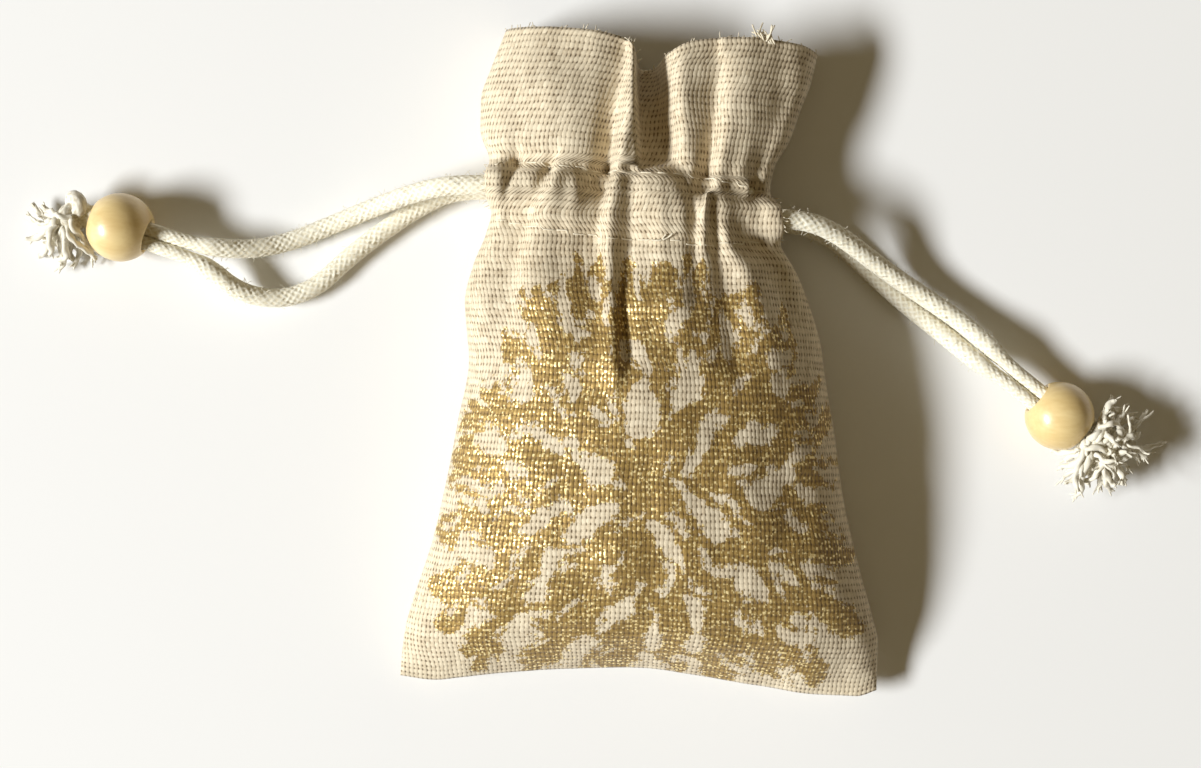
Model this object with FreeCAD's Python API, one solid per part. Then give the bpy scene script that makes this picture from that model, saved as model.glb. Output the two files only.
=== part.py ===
import FreeCAD, Part
import math
import os

# A small drawstring gift sack of coarse plain-woven cotton, lying on its back
# with its neck drawn in and its two cords pulled out to the sides.
#
# Frame, in millimetres: the origin is on the surface that the sack lies on,
# under the middle of its cloth. +X is to the right seen from the printed front,
# +Y runs from the bottom fold to the mouth, and +Z is up, out of the front.
#
# The sack is one cloth folded at the bottom and sewn up both sides. Its top is
# turned in, and two rows of stitches through the turned-in hem make a channel
# for the cords across the front and across the back. Each cord goes round the
# neck through both channels and comes back out at its own side, where its two
# ends pass through a wooden bead and are knotted and frayed.

Vector = FreeCAD.Vector

# ---------------------------------------------------------------- dimensions
half_length = 66.3        # half the sack, from its bottom fold to its mouth
half_bottom = 49.0        # half the width across the bottom corners
cloth = 0.8               # thickness of one layer of cloth
layer_gap = 0.1           # air between two layers of cloth that lie together
cord_dia = 4.0            # cotton cord
cord_play = 0.3           # room round a cord in its channel

neck_left = -33.6         # the drawn-in neck, from one edge to the other
neck_right = 23.0
neck_low_y = 26.2         # the neck runs from here ...
neck_high_y = 38.8        # ... to here
neck_half_height = 8.6    # half the neck's thickness, and its side rounding
neck_mid_z = 9.2
channel_ramp = 1.5        # over this length the hem leaves the outer cloth
left_cord_y = 34.6        # the two cords lie side by side in each channel
right_cord_y = 30.0
slit_margin = 0.3         # side slit past the cords, along the seam

bottom_join_y = -61.5     # the two panels end here, at the flattened fold
fold_sagitta = 3.2        # how far the middle of the bottom edge is pulled in
fold_edge_height = 1.8    # the folded cloth at the bottom edge

seam_width = 5.0          # width of the seam allowance inside the sack
seam_start_y = -55.0
seam_gap = 0.35           # air between the seam allowance and the wall

thread_dia = 0.5
stitch_length = 2.6
stitch_pitch = 3.7
stitch_inset = 1.0        # the seam's stitches, in from its outer edge
stitch_lift = 0.05        # air under the seam's stitches, which follow a curve

bead_radius = 7.0
bore_radius = 3.1
mouth_rounding = 0.4      # rounding round the bead's two holes
bundle_radius = 3.02      # the two cord ends, squeezed together in the bore
bundle_reach = 12.0       # from the bead's middle to where the ends come together
knot_distance = 10.3      # from the bead's middle to the knot's middle
knot_drop = 0.6
knot_loop_radius = 2.7    # of each loop's centre line
knot_middle_radius = 3.3
last_run = 7.0            # straight end of each leg, in line with the bore

left_bead_centre = Vector(-109.4, 24.0, bead_radius)
right_bead_centre = Vector(84.3, -7.8, bead_radius)
left_bore_axis = Vector(0.96, -0.28, 0)     # from the bead towards the sack
right_bore_axis = Vector(-0.80, 0.60, 0)

# What follows from them.
bend_radius = neck_half_height - cloth - cord_play - cord_dia / 2
hem_half_height = bend_radius - cord_dia / 2 - cord_play
hem_step = neck_half_height - cloth - hem_half_height
front_cord_z = neck_mid_z + bend_radius
back_cord_z = neck_mid_z - bend_radius
left_turn_x = neck_left + neck_half_height
right_turn_x = neck_right - neck_half_height

# How far the back's form reaches below the surface that the sack lies on. That
# much of its thickness is pressed flat, which gives it a level face to rest on.
pressed = 0.1

# The sack's cross-sections, from bottom to mouth. Each is closed by the two
# side seams: y, left edge, right edge, underside, seam height, top, and the
# width over which each side rounds off.
sections = [
    (bottom_join_y, -half_bottom, half_bottom, 3.2, 5.6, 8.8, 14.0),
    (-56.0, -48.2, 48.6, 0.6, 6.6, 16.6, 18.0),
    (-50.0, -46.7, 47.2, -pressed, 7.6, 20.8, 22.0),
    (-37.5, -43.0, 43.2, -pressed, 9.4, 26.2, 26.0),
    (-25.0, -40.6, 39.9, -pressed, 10.4, 28.6, 28.0),
    (-13.0, -38.6, 37.9, -pressed, 11.0, 29.4, 27.0),
    (-1.0, -36.9, 35.6, -pressed, 11.0, 28.4, 24.0),
    (6.0, -37.7, 34.3, -pressed, 10.8, 26.6, 21.5),
    (12.0, -38.1, 32.4, -pressed, 10.4, 24.4, 18.5),
    (18.0, -36.8, 29.8, 0.2, 9.9, 21.4, 14.5),
    (neck_low_y, neck_left, neck_right, neck_mid_z - neck_half_height, neck_mid_z,
     neck_mid_z + neck_half_height, neck_half_height),
    (neck_high_y, neck_left, neck_right, neck_mid_z - neck_half_height, neck_mid_z,
     neck_mid_z + neck_half_height, neck_half_height),
    (44.0, -35.5, 25.5, 0.3, 9.4, 18.8, 9.4),
    (50.0, -36.7, 28.0, -pressed, 9.6, 19.8, 10.0),
    (56.0, -35.3, 30.0, -pressed, 9.8, 20.2, 10.4),
    (half_length, -31.9, 32.1, -pressed, 9.7, 19.6, 10.4),
]

# The free legs of the two cords, from the neck's edge to the straight end
# before the bead. They drop to the surface and rise again to the bore.
left_upper_leg = [
    Vector(neck_left, left_cord_y, front_cord_z),
    Vector(-40.8, left_cord_y, front_cord_z),
    Vector(-48.8, 33.0, 10.9),
    Vector(-57.4, 30.2, 5.6),
    Vector(-66.2, 26.6, 2.4),
    Vector(-74.6, 22.8, 2.2),
    Vector(-82.2, 20.6, 4.4),
]
left_lower_leg = [
    Vector(neck_left, left_cord_y, back_cord_z),
    Vector(-40.8, left_cord_y, back_cord_z),
    Vector(-48.4, 31.0, 2.8),
    Vector(-56.0, 25.6, 2.1),
    Vector(-63.2, 19.8, 2.0),
    Vector(-69.5, 13.2, 2.0),
    Vector(-77.3, 10.3, 2.6),
    Vector(-85.3, 11.7, 4.8),
]
right_upper_leg = [
    Vector(neck_right, right_cord_y, front_cord_z),
    Vector(30.2, right_cord_y, front_cord_z),
    Vector(37.4, 27.3, 11.6),
    Vector(44.0, 23.1, 7.5),
    Vector(50.8, 18.6, 3.9),
    Vector(58.0, 14.6, 2.3),
    Vector(64.4, 10.4, 4.5),
]
right_lower_leg = [
    Vector(neck_right, right_cord_y, back_cord_z),
    Vector(30.2, right_cord_y, back_cord_z),
    Vector(37.0, 26.4, 2.8),
    Vector(43.0, 20.2, 2.1),
    Vector(49.2, 14.2, 2.0),
    Vector(55.8, 9.4, 2.0),
    Vector(62.0, 5.8, 4.3),
]

# Where the frayed strands behind each knot end.
left_strand_tips = [
    Vector(-128.0, 25.4, 2.6),
    Vector(-127.4, 20.6, 1.6),
    Vector(-125.0, 15.2, 1.4),
    Vector(-122.4, 11.6, 1.4),
    Vector(-118.0, 13.8, 1.4),
]
right_strand_tips = [
    Vector(109.4, -14.8, 2.0),
    Vector(106.2, -19.4, 1.6),
    Vector(102.0, -24.0, 1.4),
    Vector(97.4, -22.6, 1.4),
    Vector(103.4, -9.6, 3.0),
    Vector(95.4, -4.2, 4.6),
]
strand_root_radius = 1.6
strand_tip_radius = 0.6


# ------------------------------------------------------------------ sections
def section_at(y):
    """The section's values at y, on the straight line between two sections."""
    for low, high in zip(sections, sections[1:]):
        if low[0] <= y <= high[0]:
            part = (y - low[0]) / (high[0] - low[0])
            return [a + part * (b - a) for a, b in zip(low, high)]
    raise ValueError("no section at this y")


def half_curve(section, side, inset):
    """Edges over one half of a section, from the left seam to the right seam.

    side is 1 for the front and -1 for the back. inset moves the curve inwards.
    Each edge is a quarter of an ellipse or the straight stretch between two.
    """
    y, left, right, underside, seam_z, top, rounding = section
    height = top - seam_z if side > 0 else seam_z - underside
    reach_x = rounding - inset
    reach_z = height - inset
    steps = 8

    def quarter(centre_x, start_angle, end_angle):
        points = []
        for k in range(steps + 1):
            angle = start_angle + (end_angle - start_angle) * k / steps
            points.append(Vector(centre_x + reach_x * math.cos(angle), y,
                                 seam_z + side * reach_z * math.sin(angle)))
        spline = Part.BSplineCurve()
        spline.interpolate(points)
        return spline.toShape(), points[0], points[-1]

    left_quarter, left_end, left_top = quarter(left + rounding, math.pi, math.pi / 2)
    right_quarter, right_top, right_end = quarter(right - rounding, math.pi / 2, 0)
    flat = Part.makeLine(left_top, right_top)
    return [left_quarter, flat, right_quarter], left_end, right_end


def layer_wire(section, side, outer_inset, inner_inset):
    """Closed outline of one layer of cloth over one half of a section."""
    outer, outer_left, outer_right = half_curve(section, side, outer_inset)
    inner, inner_left, inner_right = half_curve(section, side, inner_inset)
    right_edge = Part.makeLine(outer_right, inner_right)
    left_edge = Part.makeLine(inner_left, outer_left)
    return Part.Wire(outer + [right_edge] + inner[::-1] + [left_edge])


def loft(wires):
    """Solid with straight walls from each outline to the next."""
    return Part.makeLoft(wires, True, True)


# --------------------------------------------------------------------- cloth
def side_slits():
    """The openings in the side seams that the cords come out of."""
    low_y = right_cord_y - cord_dia / 2 - slit_margin
    high_y = left_cord_y + cord_dia / 2 + slit_margin
    width = 3 * neck_half_height
    tall = 4 * neck_half_height
    size = (width, high_y - low_y, tall)
    left = Part.makeBox(*size, Vector(left_turn_x - width, low_y, -cloth))
    right = Part.makeBox(*size, Vector(right_turn_x, low_y, -cloth))
    return left.fuse(right)


def panel(side):
    """One half of the outer cloth, from the bottom fold to the mouth."""
    wires = [layer_wire(s, side, 0, cloth) for s in sections]
    cloth_half = loft(wires).cut(side_slits())
    if side > 0:
        return cloth_half
    below = Part.makeBox(4 * half_bottom, 4 * half_length, 2 * cloth,
                         Vector(-2 * half_bottom, -2 * half_length, -2 * cloth))
    return cloth_half.cut(below)


def facing(side):
    """The hem: the cloth turned in at the mouth and sewn down below the neck."""
    low_y = neck_low_y - 1.2
    deep_low_y = neck_low_y + channel_ramp
    deep_high_y = neck_high_y - channel_ramp
    stations = [(low_y, layer_gap), (neck_low_y, layer_gap),
                (deep_low_y, hem_step), (deep_high_y, hem_step),
                (neck_high_y, layer_gap)]
    stations += [(s[0], layer_gap) for s in sections if s[0] > neck_high_y]
    wires = []
    for y, gap in stations:
        outer = cloth + gap
        wires.append(layer_wire(section_at(y), side, outer, outer + cloth))
    return loft(wires)


def bottom_fold():
    """The flattened fold across the bottom, with its edge pulled in midway."""
    def closed_wire(y, underside, seam_z, top, rounding):
        section = (y, -half_bottom, half_bottom, underside, seam_z, top, rounding)
        front, _, _ = half_curve(section, 1, 0)
        back, _, _ = half_curve(section, -1, 0)
        return Part.Wire(front + back[::-1])

    _, _, _, underside, seam_z, top, rounding = sections[0]
    edge = fold_edge_height / 2
    band = loft([
        closed_wire(bottom_join_y, underside, seam_z, top, rounding),
        closed_wire(-half_length, seam_z - edge, seam_z, seam_z + edge, rounding),
    ])
    radius = (half_bottom ** 2 + fold_sagitta ** 2) / (2 * fold_sagitta)
    centre_y = -half_length + fold_sagitta - radius
    scoop = Part.makeCylinder(radius, 4 * bead_radius, Vector(0, centre_y, -bead_radius))
    return band.cut(scoop)


def seam_strip(side_sign, low_y, high_y, wall):
    """Seam allowance that stands in from one side seam, between two heights."""
    heights = [low_y] + [s[0] for s in sections if low_y < s[0] < high_y] + [high_y]
    wires = []
    for y in heights:
        _, left, right, _, seam_z, _, _ = section_at(y)
        edge = left if side_sign < 0 else right
        outer_x = edge - side_sign * (wall + seam_gap)
        inner_x = outer_x - side_sign * seam_width
        corners = [Vector(outer_x, y, seam_z - cloth), Vector(inner_x, y, seam_z - cloth),
                   Vector(inner_x, y, seam_z + cloth), Vector(outer_x, y, seam_z + cloth)]
        wires.append(Part.makePolygon(corners + corners[:1]))
    return loft(wires)


def side_seam(side_sign):
    """The two stretches of one side seam's allowance, below and above the neck."""
    body = seam_strip(side_sign, seam_start_y, neck_low_y - 2, cloth)
    header = seam_strip(side_sign, neck_high_y + 1, half_length - 1,
                        2 * cloth + layer_gap)
    return Part.makeCompound([body, header])


# ------------------------------------------------------------------ stitches
def stitch(start, end):
    """One stitch: a short length of thread with rounded ends."""
    radius = thread_dia / 2
    length = (end - start).Length
    slant = radius * math.sqrt(0.5)
    side_start = Vector(radius, 0, 0)
    side_end = Vector(radius, 0, length)
    tip_start = Vector(0, 0, -radius)
    tip_end = Vector(0, 0, length + radius)
    outline = Part.Wire([
        Part.Arc(tip_start, Vector(slant, 0, -slant), side_start).toShape(),
        Part.makeLine(side_start, side_end),
        Part.Arc(side_end, Vector(slant, 0, length + slant), tip_end).toShape(),
        Part.makeLine(tip_end, tip_start),
    ])
    body = Part.Face(outline).revolve(Vector(0, 0, 0), Vector(0, 0, 1), 360)
    turn = FreeCAD.Rotation(Vector(0, 0, 1), end - start)
    body.Placement = FreeCAD.Placement(start, turn)
    return body


def channel_stitches(side, y):
    """A row of stitches across the flat of the neck, on one face of the sack."""
    z = neck_mid_z + side * (neck_half_height + thread_dia / 2)
    length = right_turn_x - left_turn_x
    count = int(length / stitch_pitch)
    first_x = left_turn_x + (length - count * stitch_pitch + stitch_pitch
                             - stitch_length) / 2
    row = []
    for k in range(count):
        x = first_x + k * stitch_pitch
        row.append(stitch(Vector(x, y, z), Vector(x + stitch_length, y, z)))
    return Part.makeCompound(row)


def seam_stitches(side_sign):
    """The row of stitches along one side seam, on top of its allowance."""
    def point(y):
        _, left, right, _, seam_z, _, _ = section_at(y)
        edge = left if side_sign < 0 else right
        x = edge - side_sign * (cloth + seam_gap + stitch_inset)
        return Vector(x, y, seam_z + cloth + thread_dia / 2 + stitch_lift)

    row = []
    y = seam_start_y + 1
    while y + stitch_length < neck_low_y - 3:
        row.append(stitch(point(y), point(y + stitch_length)))
        y += stitch_pitch
    return Part.makeCompound(row)


# --------------------------------------------------------------------- cords
def cord_tube(name, points):
    """A cord along straight runs that are joined by tangent arcs."""
    edges = []
    radii = []
    length = 0.0
    start = points[0]
    for before, corner, after in zip(points, points[1:], points[2:]):
        run_in = corner - before
        run_out = after - corner
        turn = run_in.getAngle(run_out)
        trim = 0.45 * min(run_in.Length, run_out.Length)
        radius = trim / math.tan(turn / 2)
        direction_in = Vector(run_in).normalize()
        direction_out = Vector(run_out).normalize()
        arc_start = corner - direction_in * trim
        arc_end = corner + direction_out * trim
        inward = Vector(direction_out - direction_in).normalize()
        to_middle = math.hypot(radius, trim) - radius
        arc_middle = corner + inward * to_middle
        edges.append(Part.LineSegment(start, arc_start).toShape())
        edges.append(Part.Arc(arc_start, arc_middle, arc_end).toShape())
        length += (arc_start - start).Length + radius * turn
        radii.append(radius)
        start = arc_end
    edges.append(Part.LineSegment(start, points[-1]).toShape())
    length += (points[-1] - start).Length
    path = Part.Wire(edges)
    outline = Part.Wire(Part.makeCircle(cord_dia / 2, points[0], points[1] - points[0]))
    tube = path.makePipeShell([outline], True, False)
    expected = math.pi * cord_dia ** 2 / 4 * length
    print(name, "length %.1f mm," % length, "volume / (section x length) %.4f,"
          % (tube.Volume / expected), "radii", ["%.1f" % r for r in radii])
    return tube


def leg(name, points, bead_centre, bore_axis, across):
    """A free leg, ended by the straight run into the bundle before the bead."""
    sideways = Vector(-bore_axis.y, bore_axis.x, 0) * across
    end = bead_centre + bore_axis * bundle_reach + sideways
    return cord_tube(name, points + [end + bore_axis * last_run, end])


def channel_run(y, z, from_x, to_x):
    """The straight stretch of a cord in one channel, out to the neck's edge."""
    run = Vector(to_x - from_x, 0, 0)
    return Part.makeCylinder(cord_dia / 2, run.Length, Vector(from_x, y, z), run)


def far_bend(y, turn_x, outward):
    """A cord's turn from the front channel to the back one, at the far side."""
    tube_start = Vector(turn_x, y, neck_mid_z + bend_radius)
    outline = Part.Wire(Part.makeCircle(cord_dia / 2, tube_start, Vector(1, 0, 0)))
    axis = Vector(0, outward, 0)
    return Part.Face(outline).revolve(Vector(turn_x, y, neck_mid_z), axis, 180)


def bundle(bead_centre, bore_axis):
    """The two ends of a cord, squeezed together through the bead into the knot."""
    start = bead_centre + bore_axis * bundle_reach
    length = bundle_reach + knot_distance - knot_loop_radius
    ends = Part.makeCylinder(bundle_radius, length, start, bore_axis * -1)
    return ends.cut(knot(bead_centre, bore_axis))


def bead(centre, bore_axis):
    """A wooden bead with a bored hole and softened mouths."""
    ball = Part.makeSphere(bead_radius)
    bore = Part.makeCylinder(bore_radius, 4 * bead_radius, Vector(0, 0, -2 * bead_radius))
    body = ball.cut(bore)
    mouths = [e for e in body.Edges
              if e.Closed and abs(e.Length - 2 * math.pi * bore_radius) < 0.1]
    body = body.makeFillet(mouth_rounding, mouths)
    turn = FreeCAD.Rotation(Vector(0, 0, 1), bore_axis)
    body.Placement = FreeCAD.Placement(centre, turn)
    return body


def knot_centre(bead_centre, bore_axis):
    return bead_centre - bore_axis * knot_distance - Vector(0, 0, knot_drop)


def knot(bead_centre, bore_axis):
    """Both ends tied together: two crossing loops of cord round a full middle."""
    centre = knot_centre(bead_centre, bore_axis)
    sideways = Vector(-bore_axis.y, bore_axis.x, 0)
    slant = bore_axis * 0.86 + sideways * 0.36 + Vector(0, 0, 0.36)
    upright_loop = Part.makeTorus(knot_loop_radius, cord_dia / 2, centre, bore_axis)
    slanted_loop = Part.makeTorus(knot_loop_radius, cord_dia / 2, centre, slant)
    middle = Part.makeSphere(knot_middle_radius, centre)
    return middle.fuse([upright_loop, slanted_loop])


def frayed_ends(bead_centre, bore_axis, tips):
    """The loosened strands behind a knot, spread out on the surface."""
    middle = knot_centre(bead_centre, bore_axis)
    strands = []
    for tip in tips:
        direction = Vector(tip - middle).normalize()
        root = middle + direction * knot_middle_radius
        strand = Part.makeCone(strand_root_radius, strand_tip_radius,
                               (tip - root).Length, root, direction)
        strands.append(strand.fuse(Part.makeSphere(strand_tip_radius, tip)))
    spread = strands[0].fuse(strands[1:])
    return spread.cut(knot(bead_centre, bore_axis))


# ------------------------------------------------------------------ assembly
def cloth_nodes():
    front_row = neck_high_y - 0.6
    back_row = neck_low_y + 0.6
    return {
        "front_panel": panel(1),
        "back_panel": panel(-1),
        "front_facing": facing(1),
        "back_facing": facing(-1),
        "bottom_fold": bottom_fold(),
        "left_side_seam": side_seam(-1),
        "right_side_seam": side_seam(1),
        "left_seam_stitches": seam_stitches(-1),
        "right_seam_stitches": seam_stitches(1),
        "front_upper_channel_stitches": channel_stitches(1, front_row),
        "front_lower_channel_stitches": channel_stitches(1, back_row),
        "back_upper_channel_stitches": channel_stitches(-1, front_row),
        "back_lower_channel_stitches": channel_stitches(-1, back_row),
        "left_cord_far_bend": far_bend(left_cord_y, right_turn_x, 1),
        "right_cord_far_bend": far_bend(right_cord_y, left_turn_x, -1),
    }


def cord_nodes(side, y, exit_x, turn_x, upper, lower, upper_side, centre, axis, tips):
    across = (cord_dia + 0.1) / 2 * upper_side
    upper_name = side + "_cord_upper_leg"
    lower_name = side + "_cord_lower_leg"
    return {
        side + "_cord_front_run": channel_run(y, front_cord_z, turn_x, exit_x),
        side + "_cord_back_run": channel_run(y, back_cord_z, turn_x, exit_x),
        upper_name: leg(upper_name, upper, centre, axis, across),
        lower_name: leg(lower_name, lower, centre, axis, -across),
        side + "_cord_bundle": bundle(centre, axis),
        side + "_bead": bead(centre, axis),
        side + "_cord_knot": knot(centre, axis),
        side + "_frayed_ends": frayed_ends(centre, axis, tips),
    }


def all_nodes():
    nodes = cloth_nodes()
    nodes.update(cord_nodes("left", left_cord_y, neck_left, right_turn_x, left_upper_leg,
                            left_lower_leg, 1, left_bead_centre, left_bore_axis,
                            left_strand_tips))
    nodes.update(cord_nodes("right", right_cord_y, neck_right, left_turn_x,
                            right_upper_leg, right_lower_leg, -1, right_bead_centre,
                            right_bore_axis, right_strand_tips))
    return nodes


os.makedirs("parts", exist_ok=True)
for name, shape in all_nodes().items():
    if not shape.isValid():
        print("not valid:", name)
    shape.exportStep(os.path.join("parts", name + ".step"))
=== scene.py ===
import math

import bpy
import numpy as np
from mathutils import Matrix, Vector


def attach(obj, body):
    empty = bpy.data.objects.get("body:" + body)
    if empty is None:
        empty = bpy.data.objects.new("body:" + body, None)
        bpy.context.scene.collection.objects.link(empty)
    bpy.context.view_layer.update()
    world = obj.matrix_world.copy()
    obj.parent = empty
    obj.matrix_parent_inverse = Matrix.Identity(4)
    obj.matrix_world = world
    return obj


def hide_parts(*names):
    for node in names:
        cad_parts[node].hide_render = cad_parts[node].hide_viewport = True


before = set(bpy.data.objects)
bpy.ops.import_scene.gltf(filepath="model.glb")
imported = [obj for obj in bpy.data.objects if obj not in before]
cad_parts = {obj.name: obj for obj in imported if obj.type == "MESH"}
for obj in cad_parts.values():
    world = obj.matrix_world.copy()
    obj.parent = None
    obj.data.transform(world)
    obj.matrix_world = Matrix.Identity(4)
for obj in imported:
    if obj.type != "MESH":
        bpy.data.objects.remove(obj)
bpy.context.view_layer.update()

# A drawstring gift sack of coarse cotton, seen from straight above as it lies on its back.
# Shapes are worked out in millimetres in the frame's own axes and scaled once, by MM.
MM = 0.001
TAU = 2 * math.pi

# ---- camera
CAMERA_PLACE = (-0.00995, -0.0046, 0.42)
CAMERA_TURN = math.radians(2.03)
CAMERA_LENS = 60.4


def make_camera():
    data = bpy.data.cameras.new("camera")
    data.lens = CAMERA_LENS
    data.sensor_width = 36
    camera = bpy.data.objects.new("camera", data)
    camera.location = CAMERA_PLACE
    camera.rotation_euler = (0, 0, CAMERA_TURN)
    bpy.context.scene.collection.objects.link(camera)
    bpy.context.scene.camera = camera


make_camera()


# ---- helpers
def mesh_object(name, points, faces, uvs=None):
    """A smooth mesh from points in millimetres. uvs holds one pair per point."""
    mesh = bpy.data.meshes.new(name)
    mesh.from_pydata((np.asarray(points) * MM).tolist(), [], [list(f) for f in faces])
    if uvs is not None:
        layer = mesh.uv_layers.new(name="weave")
        corner_points = np.empty(len(mesh.loops), dtype=np.int32)
        mesh.loops.foreach_get("vertex_index", corner_points)
        layer.data.foreach_set("uv", np.asarray(uvs, dtype=np.float32)[corner_points].ravel())
    mesh.polygons.foreach_set("use_smooth", [True] * len(mesh.polygons))
    mesh.update()
    piece = bpy.data.objects.new(name, mesh)
    bpy.context.scene.collection.objects.link(piece)
    return piece


LOOKS = []                     # pairs of a piece and the name of its material


def make_piece(name, shape, body, slot, look, *nodes):
    """A piece of points, faces and uvs that rides on a body and stands for the CAD nodes."""
    piece = mesh_object(name, *shape)
    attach(piece, body)
    if nodes:
        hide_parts(*nodes)
    LOOKS.append((piece, look))
    return piece


def grid_faces(rows, columns, wrap=False, start=0, flip=False):
    """Quads over a grid of points, rows by columns. wrap joins the last column to the first."""
    faces = []
    for j in range(rows - 1):
        for i in range(columns if wrap else columns - 1):
            a = start + j * columns + i
            b = start + j * columns + (i + 1) % columns
            quad = (a, b, b + columns, a + columns)
            faces.append(quad[::-1] if flip else quad)
    return faces


def unit(vectors):
    """A vector, or a list or grid of them, made 1 long."""
    vectors = np.asarray(vectors, float)
    return vectors / np.linalg.norm(vectors, axis=-1, keepdims=True)


def smooth_step(low, high, x):
    t = np.clip((x - low) / (high - low), 0, 1)
    return t * t * (3 - 2 * t)


def curve_through(knots, values, x):
    """Smooth curve through the knots that doesn't overshoot between them."""
    knots, values = np.asarray(knots, float), np.asarray(values, float)
    steps = np.diff(knots)
    slopes = np.diff(values) / steps
    tangents = np.zeros_like(values)
    same_way = slopes[1:] * slopes[:-1] > 0
    mean = 2 * slopes[1:] * slopes[:-1] / np.where(same_way, slopes[1:] + slopes[:-1], 1)
    tangents[1:-1] = np.where(same_way, mean, 0)
    tangents[0], tangents[-1] = slopes[0], slopes[-1]
    x = np.clip(x, knots[0], knots[-1])
    k = np.clip(np.searchsorted(knots, x, side="right") - 1, 0, len(steps) - 1)
    h = steps[k]
    t = (x - knots[k]) / h
    return ((1 + 2 * t) * (1 - t) ** 2 * values[k] + t * (1 - t) ** 2 * h * tangents[k]
            + t * t * (3 - 2 * t) * values[k + 1] + t * t * (t - 1) * h * tangents[k + 1])


def wander(x, y, scale, seed):
    """Smooth uneven value between about -1 and 1 that changes over the given scale."""
    random = np.random.default_rng(seed)
    total = 0
    for _ in range(7):
        angle, phase = random.uniform(0, TAU, 2)
        wave = TAU * random.uniform(0.6, 1.6) / scale
        total = total + np.sin(wave * (x * math.cos(angle) + y * math.sin(angle)) + phase)
    return total / 3.2


# ---- cords
CORD_DIA = 4.0
SQUEEZED_RADIUS = 1.5          # of each cord end inside a bead's bore
BUNDLE_REACH = 12.0            # from a bead's middle to where its two legs come together
THINS_BEFORE = 6.5             # how long before that a leg starts to be squeezed
THINS_OVER = 5.0
LEG_SPREAD = 0.55              # how much further apart the legs still are before they meet
SIDE_BY_SIDE = (8.0, 2.0, -4.0)    # where the legs' points in and beside a bead are
NECK_LEFT, NECK_RIGHT = -33.6, 23.0
LEFT_TURN, RIGHT_TURN = -25.0, 14.4
LEFT_CORD_Y, RIGHT_CORD_Y = 34.6, 30.0
FRONT_CORD_Z, BACK_CORD_Z = 14.7, 3.7
NECK_MID_Z = 9.2

ROUTES = {
    "left_upper": [(NECK_LEFT, LEFT_CORD_Y, FRONT_CORD_Z), (-40.8, LEFT_CORD_Y, FRONT_CORD_Z),
                   (-48.8, 33.0, 10.9), (-57.4, 30.2, 5.6), (-66.2, 26.6, 2.4),
                   (-74.6, 22.8, 2.2), (-82.2, 20.6, 4.4)],
    "left_lower": [(NECK_LEFT, LEFT_CORD_Y, BACK_CORD_Z), (-40.8, LEFT_CORD_Y, BACK_CORD_Z),
                   (-48.4, 31.0, 2.8), (-56.0, 25.6, 2.1), (-63.2, 19.8, 2.0),
                   (-69.5, 13.2, 2.0), (-77.3, 10.3, 2.6), (-85.3, 11.7, 4.8)],
    "right_upper": [(NECK_RIGHT, RIGHT_CORD_Y, FRONT_CORD_Z), (30.2, RIGHT_CORD_Y, FRONT_CORD_Z),
                    (37.4, 27.3, 11.6), (44.0, 23.1, 7.9), (50.8, 18.8, 5.6),
                    (58.0, 14.6, 4.8), (64.4, 10.4, 5.2)],
    "right_lower": [(NECK_RIGHT, RIGHT_CORD_Y, BACK_CORD_Z), (30.2, RIGHT_CORD_Y, BACK_CORD_Z),
                    (37.5, 27.0, 2.8), (43.9, 21.6, 2.1), (50.4, 16.0, 2.0),
                    (57.0, 11.0, 2.1), (62.5, 6.6, 4.0)],
}

BEAD_RADIUS = 7.0
BORE_RADIUS = 3.1
KNOT_DISTANCE = 9.9            # from a bead's middle to its knot
KNOT_DROP = 0.6
SIDES = {
    "left": {"bead": Vector((-109.4, 24.0, 7.0)), "bore": Vector((0.96, -0.28, 0)),
             "out": -1, "upper_side": 1, "y": LEFT_CORD_Y, "turn": RIGHT_TURN,
             "neck": NECK_LEFT},
    "right": {"bead": Vector((84.3, -7.8, 7.0)), "bore": Vector((-0.8, 0.6, 0)),
              "out": 1, "upper_side": -1, "y": RIGHT_CORD_Y, "turn": LEFT_TURN,
              "neck": NECK_RIGHT},
}


def route_line(name, points):
    """The route's smooth line, as the points of its NURBS spline, in millimetres."""
    data = bpy.data.curves.new(name, "CURVE")
    data.dimensions = "3D"
    data.resolution_u = 16
    spline = data.splines.new("NURBS")
    spline.points.add(len(points) - 1)
    for target, point in zip(spline.points, points):
        target.co = (*(Vector(point) * MM), 1)
    spline.order_u = 3
    spline.use_endpoint_u = True
    holder = bpy.data.objects.new(name, data)
    mesh = bpy.data.meshes.new_from_object(holder)
    line = np.array([v.co[:] for v in mesh.vertices]) / MM
    bpy.data.objects.remove(holder)
    bpy.data.curves.remove(data)
    bpy.data.meshes.remove(mesh)
    return line


def resample(line, step):
    """The same line with evenly spaced points, and the distance of each along it."""
    lengths = np.linalg.norm(np.diff(line, axis=0), axis=1)
    along = np.concatenate([[0], np.cumsum(lengths)])
    count = max(3, int(round(along[-1] / step)) + 1)
    places = np.linspace(0, along[-1], count)
    return np.stack([np.interp(places, along, line[:, k]) for k in range(3)], axis=1), places


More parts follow.
